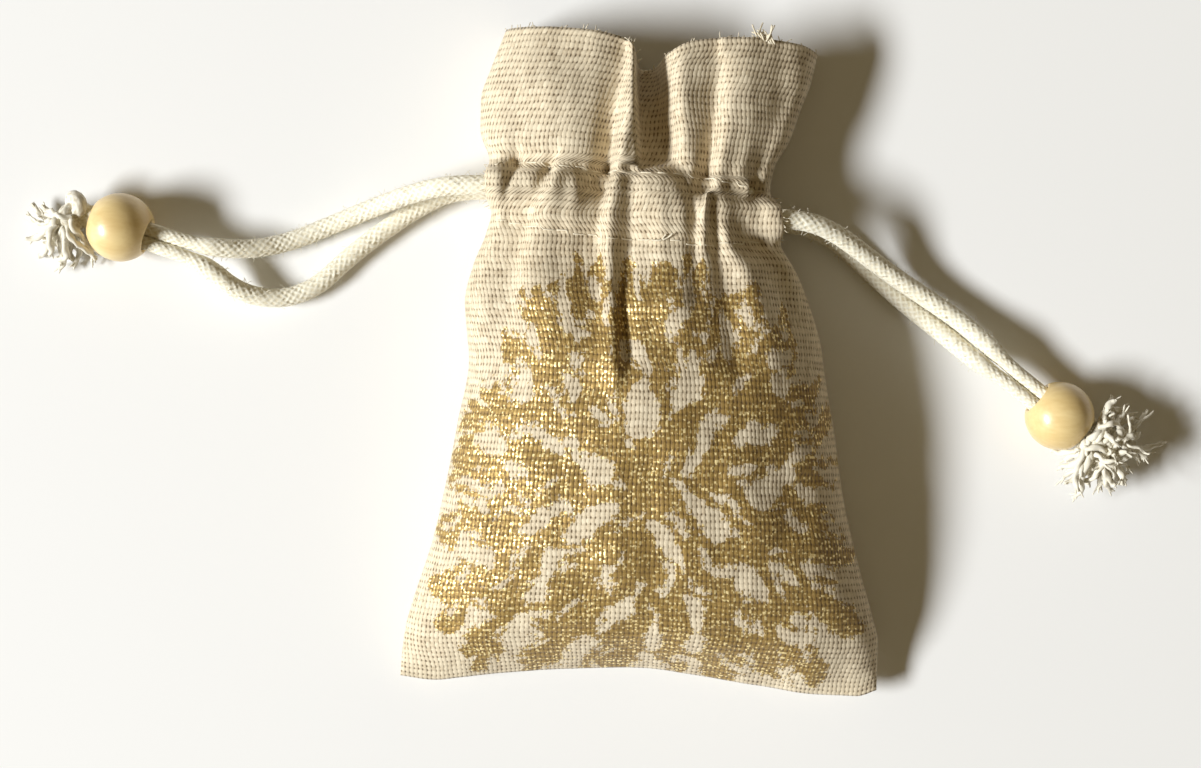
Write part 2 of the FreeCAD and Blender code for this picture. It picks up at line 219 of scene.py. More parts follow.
def tube(line, radius_at, sides, surface=None, step=0.4, start=0.0):
    """Points, faces and uvs of a tube along a line, with rounded closed ends.

    radius_at gives the radius for distances along the line. surface gives what stands
    out of it, from the distance and the angle round it.
    """
    centres, places = resample(np.asarray(line, float), step)
    tangents = unit(np.gradient(centres, axis=0))
    side = np.cross(tangents[0], (0, 0, 1.0))
    if np.linalg.norm(side) < 0.2:
        side = np.cross(tangents[0], (0, 1.0, 0))
    radii = radius_at(places) if callable(radius_at) else np.full(len(places), float(radius_at))
    angles = np.arange(sides) * TAU / sides
    points, uvs = [], []
    for k, (centre, tangent) in enumerate(zip(centres, tangents)):
        side = unit(side - tangent * np.dot(side, tangent))
        up = np.cross(side, tangent)
        reach = np.full(sides, radii[k])
        if surface is not None:
            reach = reach + surface(start + places[k], angles)
        ring = centre + reach[:, None] * (np.cos(angles)[:, None] * side
                                          + np.sin(angles)[:, None] * up)
        points.extend(ring)
        uvs.extend(np.stack([np.full(sides, start + places[k]), angles * radii[k]], axis=1))
    rows = len(centres)
    faces = grid_faces(rows, sides, wrap=True)
    for end, ring_start, away in ((0, 0, -tangents[0]), (-1, (rows - 1) * sides, tangents[-1])):
        points.append(centres[end] + away * radii[end] * 0.35)
        uvs.append((start + places[end], 0))
        tip = len(points) - 1
        for i in range(sides):
            a, b = ring_start + i, ring_start + (i + 1) % sides
            faces.append((tip, b, a) if end == 0 else (tip, a, b))
    return np.array(points), faces, np.array(uvs)


def join_parts(parts):
    """One set of points, faces and uvs from several."""
    points, faces, uvs = [], [], []
    for part_points, part_faces, part_uvs in parts:
        shift = sum(len(p) for p in points)
        points.append(part_points)
        faces.extend(tuple(i + shift for i in f) for f in part_faces)
        uvs.append(part_uvs)
    return np.concatenate(points), faces, np.concatenate(uvs)


BRAID_LEAD = 12.4              # length of one turn of a strand round the cord
BRAID_STRANDS = 8              # that go each way round
BRAID_DEPTH = 0.16
CORD_SIDES, CORD_STEP = 56, 0.25
HIDDEN_SIDES = 32
HIDDEN_RADIUS = CORD_DIA / 2 - 0.1
BRAID_AT_NECK = 60.0           # where a free leg starts, along the braid


def braid(place, angles):
    """Two sets of strands that cross over and under each other, as a dip below the radius."""
    uneven = np.sin(1.7 * place + 2 * angles) + np.sin(0.61 * place - angles)
    turn = TAU * place / BRAID_LEAD + 0.05 * uneven
    over = 0.4 * np.cos(BRAID_STRANDS * angles)
    right = np.cos(BRAID_STRANDS * (angles + turn)) + over
    left = np.cos(BRAID_STRANDS * (angles - turn)) - over
    return BRAID_DEPTH * (1 + 0.3 * uneven) * (np.maximum(right, left) - 1.4) / 1.8


def leg_line(side, level):
    """A free leg's line, on through the bead to its knot."""
    bore, bead = SIDES[side]["bore"], SIDES[side]["bead"]
    sideways = Vector((-bore.y, bore.x, 0)) * SIDES[side]["upper_side"]
    if level == "lower":
        sideways = -sideways
    inside = sideways * SQUEEZED_RADIUS * 0.97
    end = bead + bore * (BUNDLE_REACH + 1.5) + inside
    points = ROUTES[side + "_" + level] + [end + bore * 6.0 + sideways * LEG_SPREAD, end]
    points += [bead + bore * reach + inside for reach in SIDE_BY_SIDE]
    points.append(bead - bore * (KNOT_DISTANCE - 1.5) + inside * 0.6 - Vector((0, 0, KNOT_DROP)))
    return route_line(side + "_" + level, points)


LINT_SEED = 90
LINT_HAIRS = 170
LINT_LENGTH = (0.4, 1.3)
LINT_RADIUS = 0.05
LINT_STOPS_BEFORE = 6.0        # the place where a bead's two legs come together


def make_lint(side, level, line, seed):
    """Fine hairs of cotton that stand out of a free leg's surface."""
    random = np.random.default_rng(seed)
    centres, places = resample(line, 0.4)
    tangents = unit(np.gradient(centres, axis=0))
    stop = places[-1] - KNOT_DISTANCE - BUNDLE_REACH - LINT_STOPS_BEFORE
    parts = []
    for k in random.integers(4, int(np.argmax(places > stop)), LINT_HAIRS):
        out = unit(np.cross(tangents[k], random.normal(0, 1, 3)))
        heading = out + tangents[k] * random.uniform(-0.8, 0.8)
        t = np.linspace(0, 1, 5)[:, None]
        hair = centres[k] + out * (CORD_DIA / 2 - 0.25) + heading * t * random.uniform(*LINT_LENGTH)
        hair += tangents[k] * random.uniform(-0.6, 0.6) * t ** 2
        hair[:, 2] = np.maximum(hair[:, 2], LINT_RADIUS + 0.1)
        parts.append(tube(hair, LINT_RADIUS, 5, step=0.3))
    return make_piece(side + "_cord_" + level + "_leg_lint", join_parts(parts),
                      side + "_drawcord", "cotton_cord", "fringe_cotton")


def make_leg(side, level, seed):
    line = leg_line(side, level)
    total = resample(line, 0.4)[1][-1]
    thins_at = total - KNOT_DISTANCE - BUNDLE_REACH - THINS_BEFORE

    def radius_at(along):
        squeezed = smooth_step(thins_at, thins_at + THINS_OVER, along)
        return CORD_DIA / 2 + (SQUEEZED_RADIUS - CORD_DIA / 2) * squeezed

    node = side + "_cord_" + level + "_leg"
    shape = tube(line, radius_at, CORD_SIDES, braid, CORD_STEP, BRAID_AT_NECK)
    piece = make_piece(node + "_braid", shape, side + "_drawcord", "cotton_cord", "cord_cotton",
                       node, side + "_cord_bundle")
    return {"piece": piece, "lint": make_lint(side, level, line, seed), "length": total * MM,
            "path": (resample(line, 0.8)[0] * MM).tolist(),
            "exit": tuple(place * MM for place in ROUTES[side + "_" + level][0])}


def make_hidden(node, line, body, start=0.0):
    """A stretch of a cord inside its channel."""
    return make_piece(node + "_braid", tube(line, HIDDEN_RADIUS, HIDDEN_SIDES, braid, start=start),
                      body, "cotton_cord", "cord_cotton", node)


def make_hidden_cord(side):
    """A cord's two runs in the channels, and its bend from the front one into the back one."""
    facts = SIDES[side]
    for level, z in (("front", FRONT_CORD_Z), ("back", BACK_CORD_Z)):
        line = [(facts["turn"], facts["y"], z), (facts["neck"], facts["y"], z)]
        make_hidden(side + "_cord_" + level + "_run", line, side + "_drawcord",
                    BRAID_AT_NECK - abs(facts["turn"] - facts["neck"]))
    radius = (FRONT_CORD_Z - BACK_CORD_Z) / 2
    angles = np.linspace(math.pi / 2, -math.pi / 2, 25)
    bend = np.stack([facts["turn"] - facts["out"] * radius * np.cos(angles),
                     np.full(25, facts["y"]), NECK_MID_Z + radius * np.sin(angles)], axis=1)
    make_hidden(side + "_cord_far_bend", bend, "sack")


LEGS = [(side, level) for side in SIDES for level in ("upper", "lower")]
legs = {leg: make_leg(*leg, LINT_SEED + number) for number, leg in enumerate(LEGS)}
for cord_side in SIDES:
    make_hidden_cord(cord_side)


# ---- knots and frayed ends
def knot_middle(side):
    """Just behind the bead, a little lower than its bore."""
    facts = SIDES[side]
    return np.array(facts["bead"] - facts["bore"] * KNOT_DISTANCE - Vector((0, 0, KNOT_DROP)))


def bead_axes(side):
    """Unit vectors away from the sack along the bore, sideways, and up."""
    away = -np.array(SIDES[side]["bore"])
    up = np.array((0, 0, 1.0))
    return away, np.cross(up, away), up


TREFOIL = 1.7                  # how open the knot's three lobes are
KNOT_SIZE = (1.15, 1.1, 1.15)  # sideways, up and along the bore
KNOT_CORD_RADIUS = 1.6


def make_knot(side):
    """The ends tied in an overhand knot, as one closed trefoil of squeezed cord."""
    t = np.linspace(0, TAU, 120, endpoint=False)[:, None]
    lobes = (np.sin(t) + TREFOIL * np.sin(2 * t), np.cos(t) - TREFOIL * np.cos(2 * t),
             -np.sin(3 * t))
    away, sideways, up = bead_axes(side)
    line = knot_middle(side) + 0.2 * away
    for size, lobe, axis in zip(KNOT_SIZE, lobes, (sideways, up, away)):
        line = line + size * lobe * axis
    line = np.concatenate([line, line[:2]])
    return make_piece(side + "_cord_knot_tied", tube(line, KNOT_CORD_RADIUS, 40, braid, step=0.35),
                      side + "_drawcord", "cotton_cord", "knot_cotton_shaded", side + "_cord_knot")


# Thick plies and fine strands of each tuft: how many there are, how far they fan out from the
# line of the bore and lift off the floor, in radians, how long they are, where they start from
# the knot's middle, and how much of their height they lose to sag.
FRAY = {
    "left": {"seed": 11, "fan": (0.3, 2.4), "plies": 36, "strands": 12, "length": (4.5, 9.5),
             "root_away": (-0.5, 2.2), "root_side": (0.5, 4.0), "root_up": (-0.5, 3.0),
             "lift": (-0.3, 1.0), "sag": (0.5, 1.0)},
    "right": {"seed": 5, "fan": (-1.7, 2.1), "plies": 130, "strands": 20, "length": (3.5, 10.0),
              "root_away": (-3.0, 3.6), "root_side": (-3.0, 5.0), "root_up": (0.0, 5.4),
              "lift": (-0.4, 1.3), "sag": (0.1, 0.7)},
}
FLOOR_CLEARANCE = 0.3
PLY_CURLINESS, STRAND_CURLINESS = 0.8, 1.0
PLY_RADIUS = (0.48, 0.72)
STRAND_RADIUS = (0.22, 0.34)
TIP_HAIRS = 3                  # fine hairs that each thick ply ends in
TIP_RADIUS = 0.17
BEAD_CLEARANCE = 1.0           # from the bead's surface to the middle of a strand over it


def fray_line(random, side, facts, curliness):
    """The line of one crinkled strand that fans out behind the knot and sags down."""
    away, sideways, up = bead_axes(side)
    fan = random.uniform(*facts["fan"])
    lift = random.uniform(*facts["lift"])
    reach = random.uniform(*facts["length"]) * (1 - 0.2 * abs(lift))
    heading = (math.cos(fan) * away + math.sin(fan) * sideways) * math.cos(lift)
    heading = heading + math.sin(lift) * up
    root = (knot_middle(side) + away * random.uniform(*facts["root_away"])
            + sideways * random.uniform(*facts["root_side"]) + up * random.uniform(*facts["root_up"]))
    t = np.linspace(0, 1, 30)
    curl = random.uniform(-1, 1)
    phase = random.uniform(0, TAU, 2)
    kinks = random.uniform(0.7, 1.6, 2)
    turned = np.cross(up, heading)
    line = root + heading * (reach * t)[:, None]
    wave = curliness * np.sin(TAU * kinks[0] * t + phase[0]) * t
    line += turned * (4.4 * curl * t ** 2 + wave)[:, None]
    sag = -(line[:, 2] - 1.0) * smooth_step(0.25, 1.0, t) * random.uniform(*facts["sag"])
    line[:, 2] += sag + 0.6 * curliness * np.sin(TAU * kinks[1] * t + phase[1]) * t
    from_bead = line - np.array(SIDES[side]["bead"])
    distance = np.linalg.norm(from_bead, axis=1)[:, None]
    line += from_bead / distance * np.maximum(BEAD_RADIUS + BEAD_CLEARANCE - distance, 0)
    return line


def twisted_strand(line, radius, twist):
    """A tube of two plies twisted together, laid along a line above the floor."""
    line[:, 2] = np.maximum(line[:, 2], radius + FLOOR_CLEARANCE)
    whole = resample(line, 0.4)[1][-1]

    def ply(place, angles):
        return radius * 0.2 * np.cos(2 * angles + TAU * place / (5.5 * radius) + twist)

    def thin_out(along):
        return radius * (1 - 0.3 * smooth_step(0.7 * whole, whole, along))

    return tube(line, thin_out, 10, ply, step=0.28)


def tip_hairs(random, line):
    """The fine hairs that a ply's cut end splays into."""
    hairs = []
    ahead = unit(line[-1] - line[-6])
    for _ in range(TIP_HAIRS):
        spread = random.normal(0, 0.3, 3)
        t = np.linspace(0, 1, 8)[:, None]
        hair = line[-5] + (ahead + spread) * t * random.uniform(1.1, 2.2)
        hairs.append(twisted_strand(hair, TIP_RADIUS, 0.0))
    return hairs


def make_fray(side):
    """The tuft behind a knot: plies that end in fine hairs, and thinner strands."""
    facts = FRAY[side]
    random = np.random.default_rng(facts["seed"])
    parts = []
    for _ in range(facts["plies"]):
        line = fray_line(random, side, facts, PLY_CURLINESS)
        parts += tip_hairs(random, line)
        parts.append(twisted_strand(line, random.uniform(*PLY_RADIUS), random.uniform(0, TAU)))
    for _ in range(facts["strands"]):
        line = fray_line(random, side, facts, STRAND_CURLINESS)
        parts.append(twisted_strand(line, random.uniform(*STRAND_RADIUS), random.uniform(0, TAU)))
    return make_piece(side + "_frayed_strands", join_parts(parts), side + "_drawcord",
                      "cotton_fringe", "fringe_cotton", side + "_frayed_ends")


knots = {side: make_knot(side) for side in SIDES}
frays = {side: make_fray(side) for side in SIDES}


# ---- beads
MOUTH_ROUNDING = 0.55
BEAD_SIDES = 72


def make_bead(side):
    """A turned bead with a bored hole and rounded mouths."""
    facts = SIDES[side]
    fillet_x = BORE_RADIUS + MOUTH_ROUNDING
    ball = BEAD_RADIUS - MOUTH_ROUNDING
    fillet_z = math.sqrt(ball ** 2 - fillet_x ** 2)
    first = math.atan2(fillet_z, fillet_x)
    outline = [(BEAD_RADIUS * math.cos(a), BEAD_RADIUS * math.sin(a))
               for a in np.linspace(first, -first, 49)]
    lower = [(fillet_x + MOUTH_ROUNDING * math.cos(a), -fillet_z + MOUTH_ROUNDING * math.sin(a))
             for a in np.linspace(-first, -math.pi, 9)[1:]]
    upper = [(x, -z) for x, z in lower[::-1]]
    wall = [(BORE_RADIUS, z) for z in np.linspace(-fillet_z, fillet_z, 9)[1:-1]]
    profile = np.array(outline + lower + wall + upper)
    angles = (np.arange(BEAD_SIDES) * TAU / BEAD_SIDES)[:, None]
    axis, up = np.array(facts["bore"]), np.array((0, 0, 1.0))
    ring = np.cos(angles) * np.cross(axis, up) + np.sin(angles) * up
    points = []
    for radius, height in profile:
        points.extend(np.array(facts["bead"]) + axis * height + radius * ring)
    faces = grid_faces(len(profile), BEAD_SIDES, wrap=True)
    last = (len(profile) - 1) * BEAD_SIDES
    following = [*range(1, BEAD_SIDES), 0]
    faces += [(last + i, last + j, j, i) for i, j in enumerate(following)]
    return make_piece(side + "_turned_bead", (points, faces), side + "_bead", "bead_wood",
                      "bead_wood_grain", side + "_bead")


beads = {side: make_bead(side) for side in SIDES}

# ---- cloth: its outer form
# Along the sack: y, left edge, right edge, seam height, top, squareness of the section.
FORM = [
    (-66.3, -49.0, 49.0, 5.2, 6.0, 2.6),
    (-62.0, -48.8, 48.9, 5.4, 11.4, 2.3),
    (-56.0, -48.2, 48.8, 6.0, 17.6, 2.2),
    (-50.0, -46.7, 47.2, 7.4, 21.6, 2.15),
    (-37.5, -43.0, 43.2, 9.2, 26.6, 2.1),
    (-25.0, -40.5, 39.9, 10.0, 28.8, 2.1),
    (-13.0, -38.6, 37.8, 10.4, 29.4, 2.1),
    (-1.0, -36.8, 35.4, 10.4, 28.6, 2.1),
    (5.4, -37.5, 34.3, 10.2, 27.2, 2.15),
    (11.4, -38.1, 32.4, 9.9, 25.6, 2.2),
    (18.9, -36.6, 29.3, 9.5, 22.8, 2.3),
    (24.8, -34.4, 25.6, 9.2, 22.2, 2.6),
    (29.8, -33.3, 23.4, 9.2, 22.2, 2.9),
    (35.9, -33.6, 23.1, 9.2, 21.8, 2.9),
    (40.5, -34.2, 23.8, 9.3, 20.8, 2.6),
    (46.1, -36.2, 26.7, 9.6, 21.0, 2.3),
    (52.3, -36.3, 28.6, 9.6, 21.6, 2.2),
    (58.4, -34.6, 30.6, 8.8, 20.6, 2.3),
    (66.3, -31.9, 32.1, 7.0, 18.6, 2.3),
]
FORM_Y, *FORM_MEASURES = np.array(FORM).T
HALF_LENGTH = 66.3

# The bottom fold and the mouth's edge, across the sack: x, y.
BOTTOM_EDGE = [(-49.0, -65.9), (-42.3, -66.6), (-36.3, -65.8), (-28.2, -64.7), (-16.1, -63.4),
               (0.2, -62.6), (12.4, -63.8), (24.6, -65.4), (36.8, -66.8), (44.9, -66.9),
               (49.0, -65.5)]
MOUTH_EDGE = [(-31.9, 66.9), (-22.8, 66.7), (-14.6, 66.1), (-8.5, 65.1), (-6.0, 63.6),
              (-4.0, 60.2), (-1.5, 60.4), (0.8, 61.8), (5.8, 64.4), (11.8, 65.4), (19.9, 65.7),
              (28.0, 65.2), (32.1, 64.1)]

# Folds of the front, listed from the mouth down. Each follows the points (x, y) of its line
# and rises by its first to its last value, or dips where that's negative. The widths are
# those to its left and to its right, at its first and at its last point.
RIDGES = [
    ([(-5.6, 64), (-6.2, 49), (-7.8, 39)], (0.7, 1.1), (1.6, 1.3), (1.4, 1.3)),
    ([(-32.4, 38), (-31.8, 31), (-33.4, 24)], (1.0, 0.4), (1.6, 1.8), (1.3, 1.6)),
    ([(-23.4, 37), (-23.6, 29), (-24.6, 20), (-25.8, 8)], (0.9, 0.5), (2.0, 4.5), (4.0, 7.0)),
    ([(-9.0, 36.5), (-9.6, 27), (-9.2, 18), (-8.2, 8), (-7.0, -3)], (0.9, 1.2),
     (1.3, 2.6), (1.3, 1.5)),
    ([(0.6, 36), (1.4, 29), (2.6, 20), (4.6, 9)], (0.6, 0.7), (3.4, 4.2), (3.6, 4.0)),
    ([(9.2, 35), (9.4, 29), (9.4, 23.5)], (1.0, 0.8), (0.8, 0.9), (0.7, 0.8)),
    ([(13.8, 25.6), (17.2, 20.4), (21.0, 13.5), (24.6, 2)], (1.3, 0.7), (1.5, 3.4), (2.2, 4.4)),
]
VALLEYS = [
    ([(-7.2, 62), (-8.0, 56), (-8.9, 49.5), (-9.5, 44.5), (-10.0, 36.8)], (-3.4, -6.2),
     (5.2, 3.4), (1.4, 0.8)),
    ([(11.4, 60), (10.9, 50), (10.5, 44), (9.7, 35.4)], (-1.8, -6.0), (6.4, 2.4), (2.0, 0.9)),
    ([(24.2, 58), (22.9, 49.5), (20.1, 36.6)], (-0.5, -2.0), (4.4, 2.4), (4.0, 1.8)),
    ([(-28.4, 46), (-28.3, 39)], (-0.2, -1.3), (2.2, 1.0), (2.0, 0.9)),
    ([(-25.0, 46), (-25.2, 39)], (-0.1, -0.9), (2.2, 1.2), (1.8, 1.0)),
    ([(-21.0, 45), (-21.4, 38.2)], (-0.1, -0.9), (2.4, 1.2), (1.8, 0.9)),
    ([(-15.8, 44), (-15.6, 38)], (-0.1, -0.7), (2.4, 1.2), (1.8, 0.9)),
    ([(5.4, 45), (5.6, 36.4)], (-0.2, -1.0), (2.2, 1.2), (2.0, 1.0)),
    ([(15.4, 46), (14.6, 35.4)], (-0.1, -1.0), (2.8, 1.4), (2.0, 1.2)),
    ([(-28.3, 39.3), (-30.2, 33), (-29.6, 27.5)], (-2.2, -1.0), (1.3, 1.5), (1.0, 1.4)),
    ([(-21.6, 37.6), (-25.1, 31.1), (-25.8, 27), (-27.4, 21.5), (-28.2, 14.6), (-29.2, 3)],
     (-3.4, -1.3), (2.8, 4.0), (0.9, 2.0)),
    ([(-18.0, 37.5), (-18.7, 29), (-20.0, 19)], (-0.3, -0.2), (2.2, 3.2), (2.0, 3.4)),
    ([(-10.0, 36.4), (-11.5, 29), (-11.8, 23.8), (-11.2, 17.5), (-10.6, 6)], (-3.0, -1.2),
     (3.2, 3.8), (0.9, 1.8)),
    ([(-5.8, 35.6), (-5.2, 29), (-5.0, 24.4), (-5.5, 19.6), (-6.2, 14), (-5.2, 1)],
     (-1.1, -2.2), (1.7, 1.9), (2.3, 2.2)),
    ([(6.2, 35), (7.7, 29.5), (7.9, 23.6), (8.6, 13)], (-1.1, -0.7), (1.8, 2.6), (0.6, 1.2)),
    ([(10.7, 35), (10.9, 29), (12.0, 23.6), (13.3, 18), (14.9, 9.6), (16.2, 0)], (-1.2, -1.3),
     (0.8, 2.4), (1.5, 3.0)),
    ([(16.8, 33), (18.4, 27.5), (23.4, 19.5), (27.0, 8)], (-0.9, -0.9), (1.8, 2.8), (2.0, 3.4)),
    ([(20.6, 33), (22.6, 26), (26.6, 18)], (-0.5, -0.4), (1.4, 2.4), (1.5, 2.4)),
    ([(1.6, 36.2), (2.4, 30)], (-0.6, -0.1), (1.2, 1.6), (1.2, 1.6)),
    ([(-14.8, 37.2), (-15.2, 31)], (-0.7, -0.1), (1.4, 1.8), (1.0, 1.6)),
]
UPPER_GATHER = [(-32.8, 38.8), (-28.5, 39.4), (-21.1, 38.8), (-9.8, 37.8), (-3.1, 37.6),
                (4.1, 37.8), (9.5, 37.2), (17.5, 36.2), (22.2, 34.9)]
LOWER_GATHER = [(-32.2, 27.7), (-25.4, 26.4), (-12.7, 24.6), (1.9, 24.4), (8.6, 23.6),
                (17.8, 24.6), (21.9, 25.3)]
GAP = [(-3.0, 68), (-2.1, 58), (-0.7, 46), (0.4, 38.0)]
GAP_DEPTH = 12.5               # at the mouth, and how much less at its foot in two steps
GAP_RISES = (6.0, 4.0)
GAP_WALLS = (0.22, 0.75)       # how steep its left and its right wall are, steeper if less
UPPER_DIP, LOWER_DIP = (1.3, 2.3), (0.5, 1.7)   # depth and half width along the gathers
CORD_COVER = 2.75              # from a cord's middle up to the cloth over it
CORD_SPREAD = 3.1              # how far to each side of its middle a cord holds the cloth up
NECK_Y, NECK_REACH = 32, 9.0


def near_line(points, x, y):
    """Distance from a line, how far to its right seen along it, and the place on it, 0 to 1."""
    points = np.asarray(points, float)
    spans = np.linalg.norm(np.diff(points, axis=0), axis=1)
    before = np.concatenate([[0], np.cumsum(spans)])
    best = np.full(x.shape, 1e9)
    rightward = np.zeros(x.shape)
    place = np.zeros(x.shape)
    for k, (start, end) in enumerate(zip(points, points[1:])):
        run = (end - start) / spans[k]
        reach = (x - start[0]) * run[0] + (y - start[1]) * run[1]
        inside = np.clip(reach, 0, spans[k])
        dx, dy = x - start[0] - inside * run[0], y - start[1] - inside * run[1]
        distance = np.hypot(dx, dy)
        nearer = distance < best
        best = np.where(nearer, distance, best)
        rightward = np.where(nearer, (dy * run[0] - dx * run[1]), rightward)
        place = np.where(nearer, (before[k] + inside) / before[-1], place)
    return best, rightward, place


def gather_distances(x, y):
    """How far each point is from the upper and from the lower line of gathers."""
    return near_line(UPPER_GATHER, x, y)[0], near_line(LOWER_GATHER, x, y)[0]


def fold_rise(x, y, folds, power):
    """The sum of all folds at each point."""
    total = 0
    for points, *measures in folds:
        distance, rightward, place = near_line(points, x, y)
        rise, left, right = (first + (last - first) * place for first, last in measures)
        width = np.where(rightward < 0, left, right)
        total = total + rise * np.exp(-(np.sqrt((distance / width) ** 2 + 0.04)) ** power)
    return total


def cord_dome(x, y):
    """The lowest that the front may lie over the two cords in its channel."""
    lowest = np.full(x.shape, -50.0)
    for facts in SIDES.values():
        over = 1 - ((y - facts["y"]) / CORD_SPREAD) ** 2
        ends = (x - facts["turn"] - 2 * facts["out"]) * facts["out"] > -6
        height = FRONT_CORD_Z + CORD_COVER * np.sqrt(np.maximum(over, 0))
        lowest = np.maximum(lowest, np.where((over > 0) & ends, height, -50.0))
    return lowest


def front_relief(x, y):
    """How far the front stands out of its plain form."""
    rise = fold_rise(x, y, RIDGES, 2.0) + fold_rise(x, y, VALLEYS, 1.5)
    upper, lower = gather_distances(x, y)
    uneven = 1 + 0.35 * wander(x, y * 0.2, 7.0, 15)
    rise = rise - UPPER_DIP[0] * uneven * np.exp(-(upper / UPPER_DIP[1]) ** 2)
    rise = rise - LOWER_DIP[0] * np.exp(-(lower / LOWER_DIP[1]) ** 2)
    _, rightward, place = near_line(GAP, x, y)
    half = 2.2 + 1.6 * place
    depth = GAP_DEPTH - GAP_RISES[0] * smooth_step(0.3, 0.95, place)
    depth = depth - GAP_RISES[1] * smooth_step(0.9, 1.0, place)
    left_wall = 1 / (1 + np.exp(-(rightward + half) / GAP_WALLS[0]))
    right_wall = 1 / (1 + np.exp(-(rightward - half) / GAP_WALLS[1]))
    rise = rise - depth * (left_wall - right_wall) * smooth_step(36.8, 40.5, y)
    rise = rise + 0.24 * near_neck(y) * wander(x, y * 0.3, 5.6, 3)
    return rise + 0.35 * wander(x, y, 19.0, 7) + 0.16 * wander(x, y, 7.0, 9)


def near_neck(y):
    """1 at the drawn-in neck, 0 away from it."""
    return np.exp(-((y - NECK_Y) / NECK_REACH) ** 2)


def back_relief(x, y):
    """How far the back is drawn in by its own gathers, upwards."""
    gathers = 0.9 * near_neck(y) * (1 + wander(x, y * 0.2, 5.0, 41))
    return gathers + 0.25 * (1 + wander(x, y, 11.0, 21))


def form_at(y):
    """Left edge, right edge, seam height, top and squareness at y."""
    return [curve_through(FORM_Y, values, y) for values in FORM_MEASURES]


def length_map(rows):
    """Even steps along the cloth from fold to mouth: each row's y, and the length so far."""
    y = np.linspace(-HALF_LENGTH, HALF_LENGTH, 800)
    top = form_at(y)[3]
    step = np.hypot(np.diff(y), 0.8 * np.diff(top))
    along = np.concatenate([[0], np.cumsum(step)])
    even = np.linspace(0, along[-1], rows)
    return np.interp(even, along, y), even


OPENING_REACH = 4.0            # of a cord's opening, to each side of its middle


def opening_at(y, side):
    """1 where the side seam is left open for the cords to come out, 0 away from there."""
    return math.exp(-((y - SIDES[side]["y"]) / OPENING_REACH) ** 4)


def section_height(across, square):
    """Height of a superellipse from 0 to 1, at places across it from -1 to 1."""
    return np.maximum(1 - np.abs(across) ** square, 0) ** (1 / square)


FLAT_WIDTH = 100.0
BACK_CLEARANCE = 0.35
SLEEVE_TOP = 17.5              # height of the front's edge over the cords that come out
SLEEVE_BOTTOM = 0.9
NECK_FALL = 3.4                # how much lower the right part of the drawn-in neck is
CORNER_REACH = 9.0             # of the flat pressed corners at the bottom
BOTTOM_REACH, MOUTH_REACH = 14.0, 9.0    # how far in the edges' own curves are felt
SLEEVE_FLARE = {"left": 1.0, "right": 1.8}
SEAM_EASE = 4.5                # how far in from the seams the folds reach their full height
BACK_SQUARENESS = 1.6          # how much squarer the back's section is than the front's


def half_cloth(columns, rows, is_front):
    """Grid of points over one half of the cloth, left seam to right seam, and its uvs."""
    row_y, row_v = length_map(rows)
    angle = np.linspace(0, math.pi, 420)
    across = -np.cos(angle)
    even = np.linspace(0, 1, columns)
    grid, uvs, print_uvs = [], [], []
    for y0, v in zip(row_y, row_v):
        left, right, seam, top, square = form_at(y0)
        x = (left + right) / 2 + (right - left) / 2 * across
        near_bottom = math.exp(-(y0 + HALF_LENGTH) / BOTTOM_REACH)
        near_mouth = math.exp(-(HALF_LENGTH - y0) / MOUTH_REACH)
        bottom = curve_through(*zip(*BOTTOM_EDGE), x) + HALF_LENGTH
        mouth = curve_through(*zip(*MOUTH_EDGE), x) - HALF_LENGTH
        y = y0 + bottom * near_bottom + mouth * near_mouth
        bulge = section_height(across, square)
        from_seam = (1 - np.abs(across)) * (right - left) / 2
        away_from_seam = smooth_step(0, SEAM_EASE, from_seam)
        sleeve = SLEEVE_TOP if is_front else SLEEVE_BOTTOM
        open_left, open_right = opening_at(y0, "left"), opening_at(y0, "right")
        edge = np.where(across < 0, seam + (sleeve - seam) * open_left,
                        seam + (sleeve - seam) * open_right)
        x = x + SLEEVE_FLARE["right"] * open_right * smooth_step(0.8, 1, across)
        x = x - SLEEVE_FLARE["left"] * open_left * smooth_step(0.8, 1, -across)
        if is_front:
            fall = NECK_FALL * smooth_step(9, 21, x) * math.exp(-((y0 - 30) / 8.0) ** 4)
            z = edge + (top - edge - fall) * bulge + front_relief(x, y) * away_from_seam
            corner = np.exp(-(from_seam + (y0 + HALF_LENGTH) * 0.9) / CORNER_REACH)
            z = z - (z - seam - 0.6) * 0.55 * corner
            z = np.maximum(z, cord_dome(x, y))
        else:
            flat = section_height(across, square + BACK_SQUARENESS)
            low = BACK_CLEARANCE + 4.4 * math.exp(-(y0 + HALF_LENGTH) / 5.0)
            z = edge - (edge - low) * flat
            dip = np.exp(-((x + 2.5) / 5.0) ** 2) * near_mouth
            z = z + 2.0 * dip + back_relief(x, y) * away_from_seam
            z = np.maximum(z, BACK_CLEARANCE)
        lengths = np.hypot(np.diff(x), np.diff(z))
        along = np.concatenate([[0], np.cumsum(lengths)])
        places = even * along[-1]
        grid.append(np.stack([np.interp(places, along, x), np.interp(places, along, y),
                              np.interp(places, along, z)], axis=1))
        own_width = float(smooth_step(-6.0, 22.0, y0)) * 0.9
        width = FLAT_WIDTH * (1 - own_width) + along[-1] * own_width
        uvs.append(np.stack([(even - 0.5) * width, np.full(columns, v)], axis=1))
        print_uvs.append(np.stack([(even - 0.5) * FLAT_WIDTH, np.full(columns, v)], axis=1))
    return np.array(grid), np.array(uvs), np.array(print_uvs)


def grid_normals(grid):
    """Unit normals of a grid of points, out of the side that faces up from the front."""
    along_x = np.gradient(grid, axis=1)
    along_y = np.gradient(grid, axis=0)
    normal = np.cross(along_x, along_y)
    return normal / np.maximum(np.linalg.norm(normal, axis=2), 1e-9)[:, :, None]


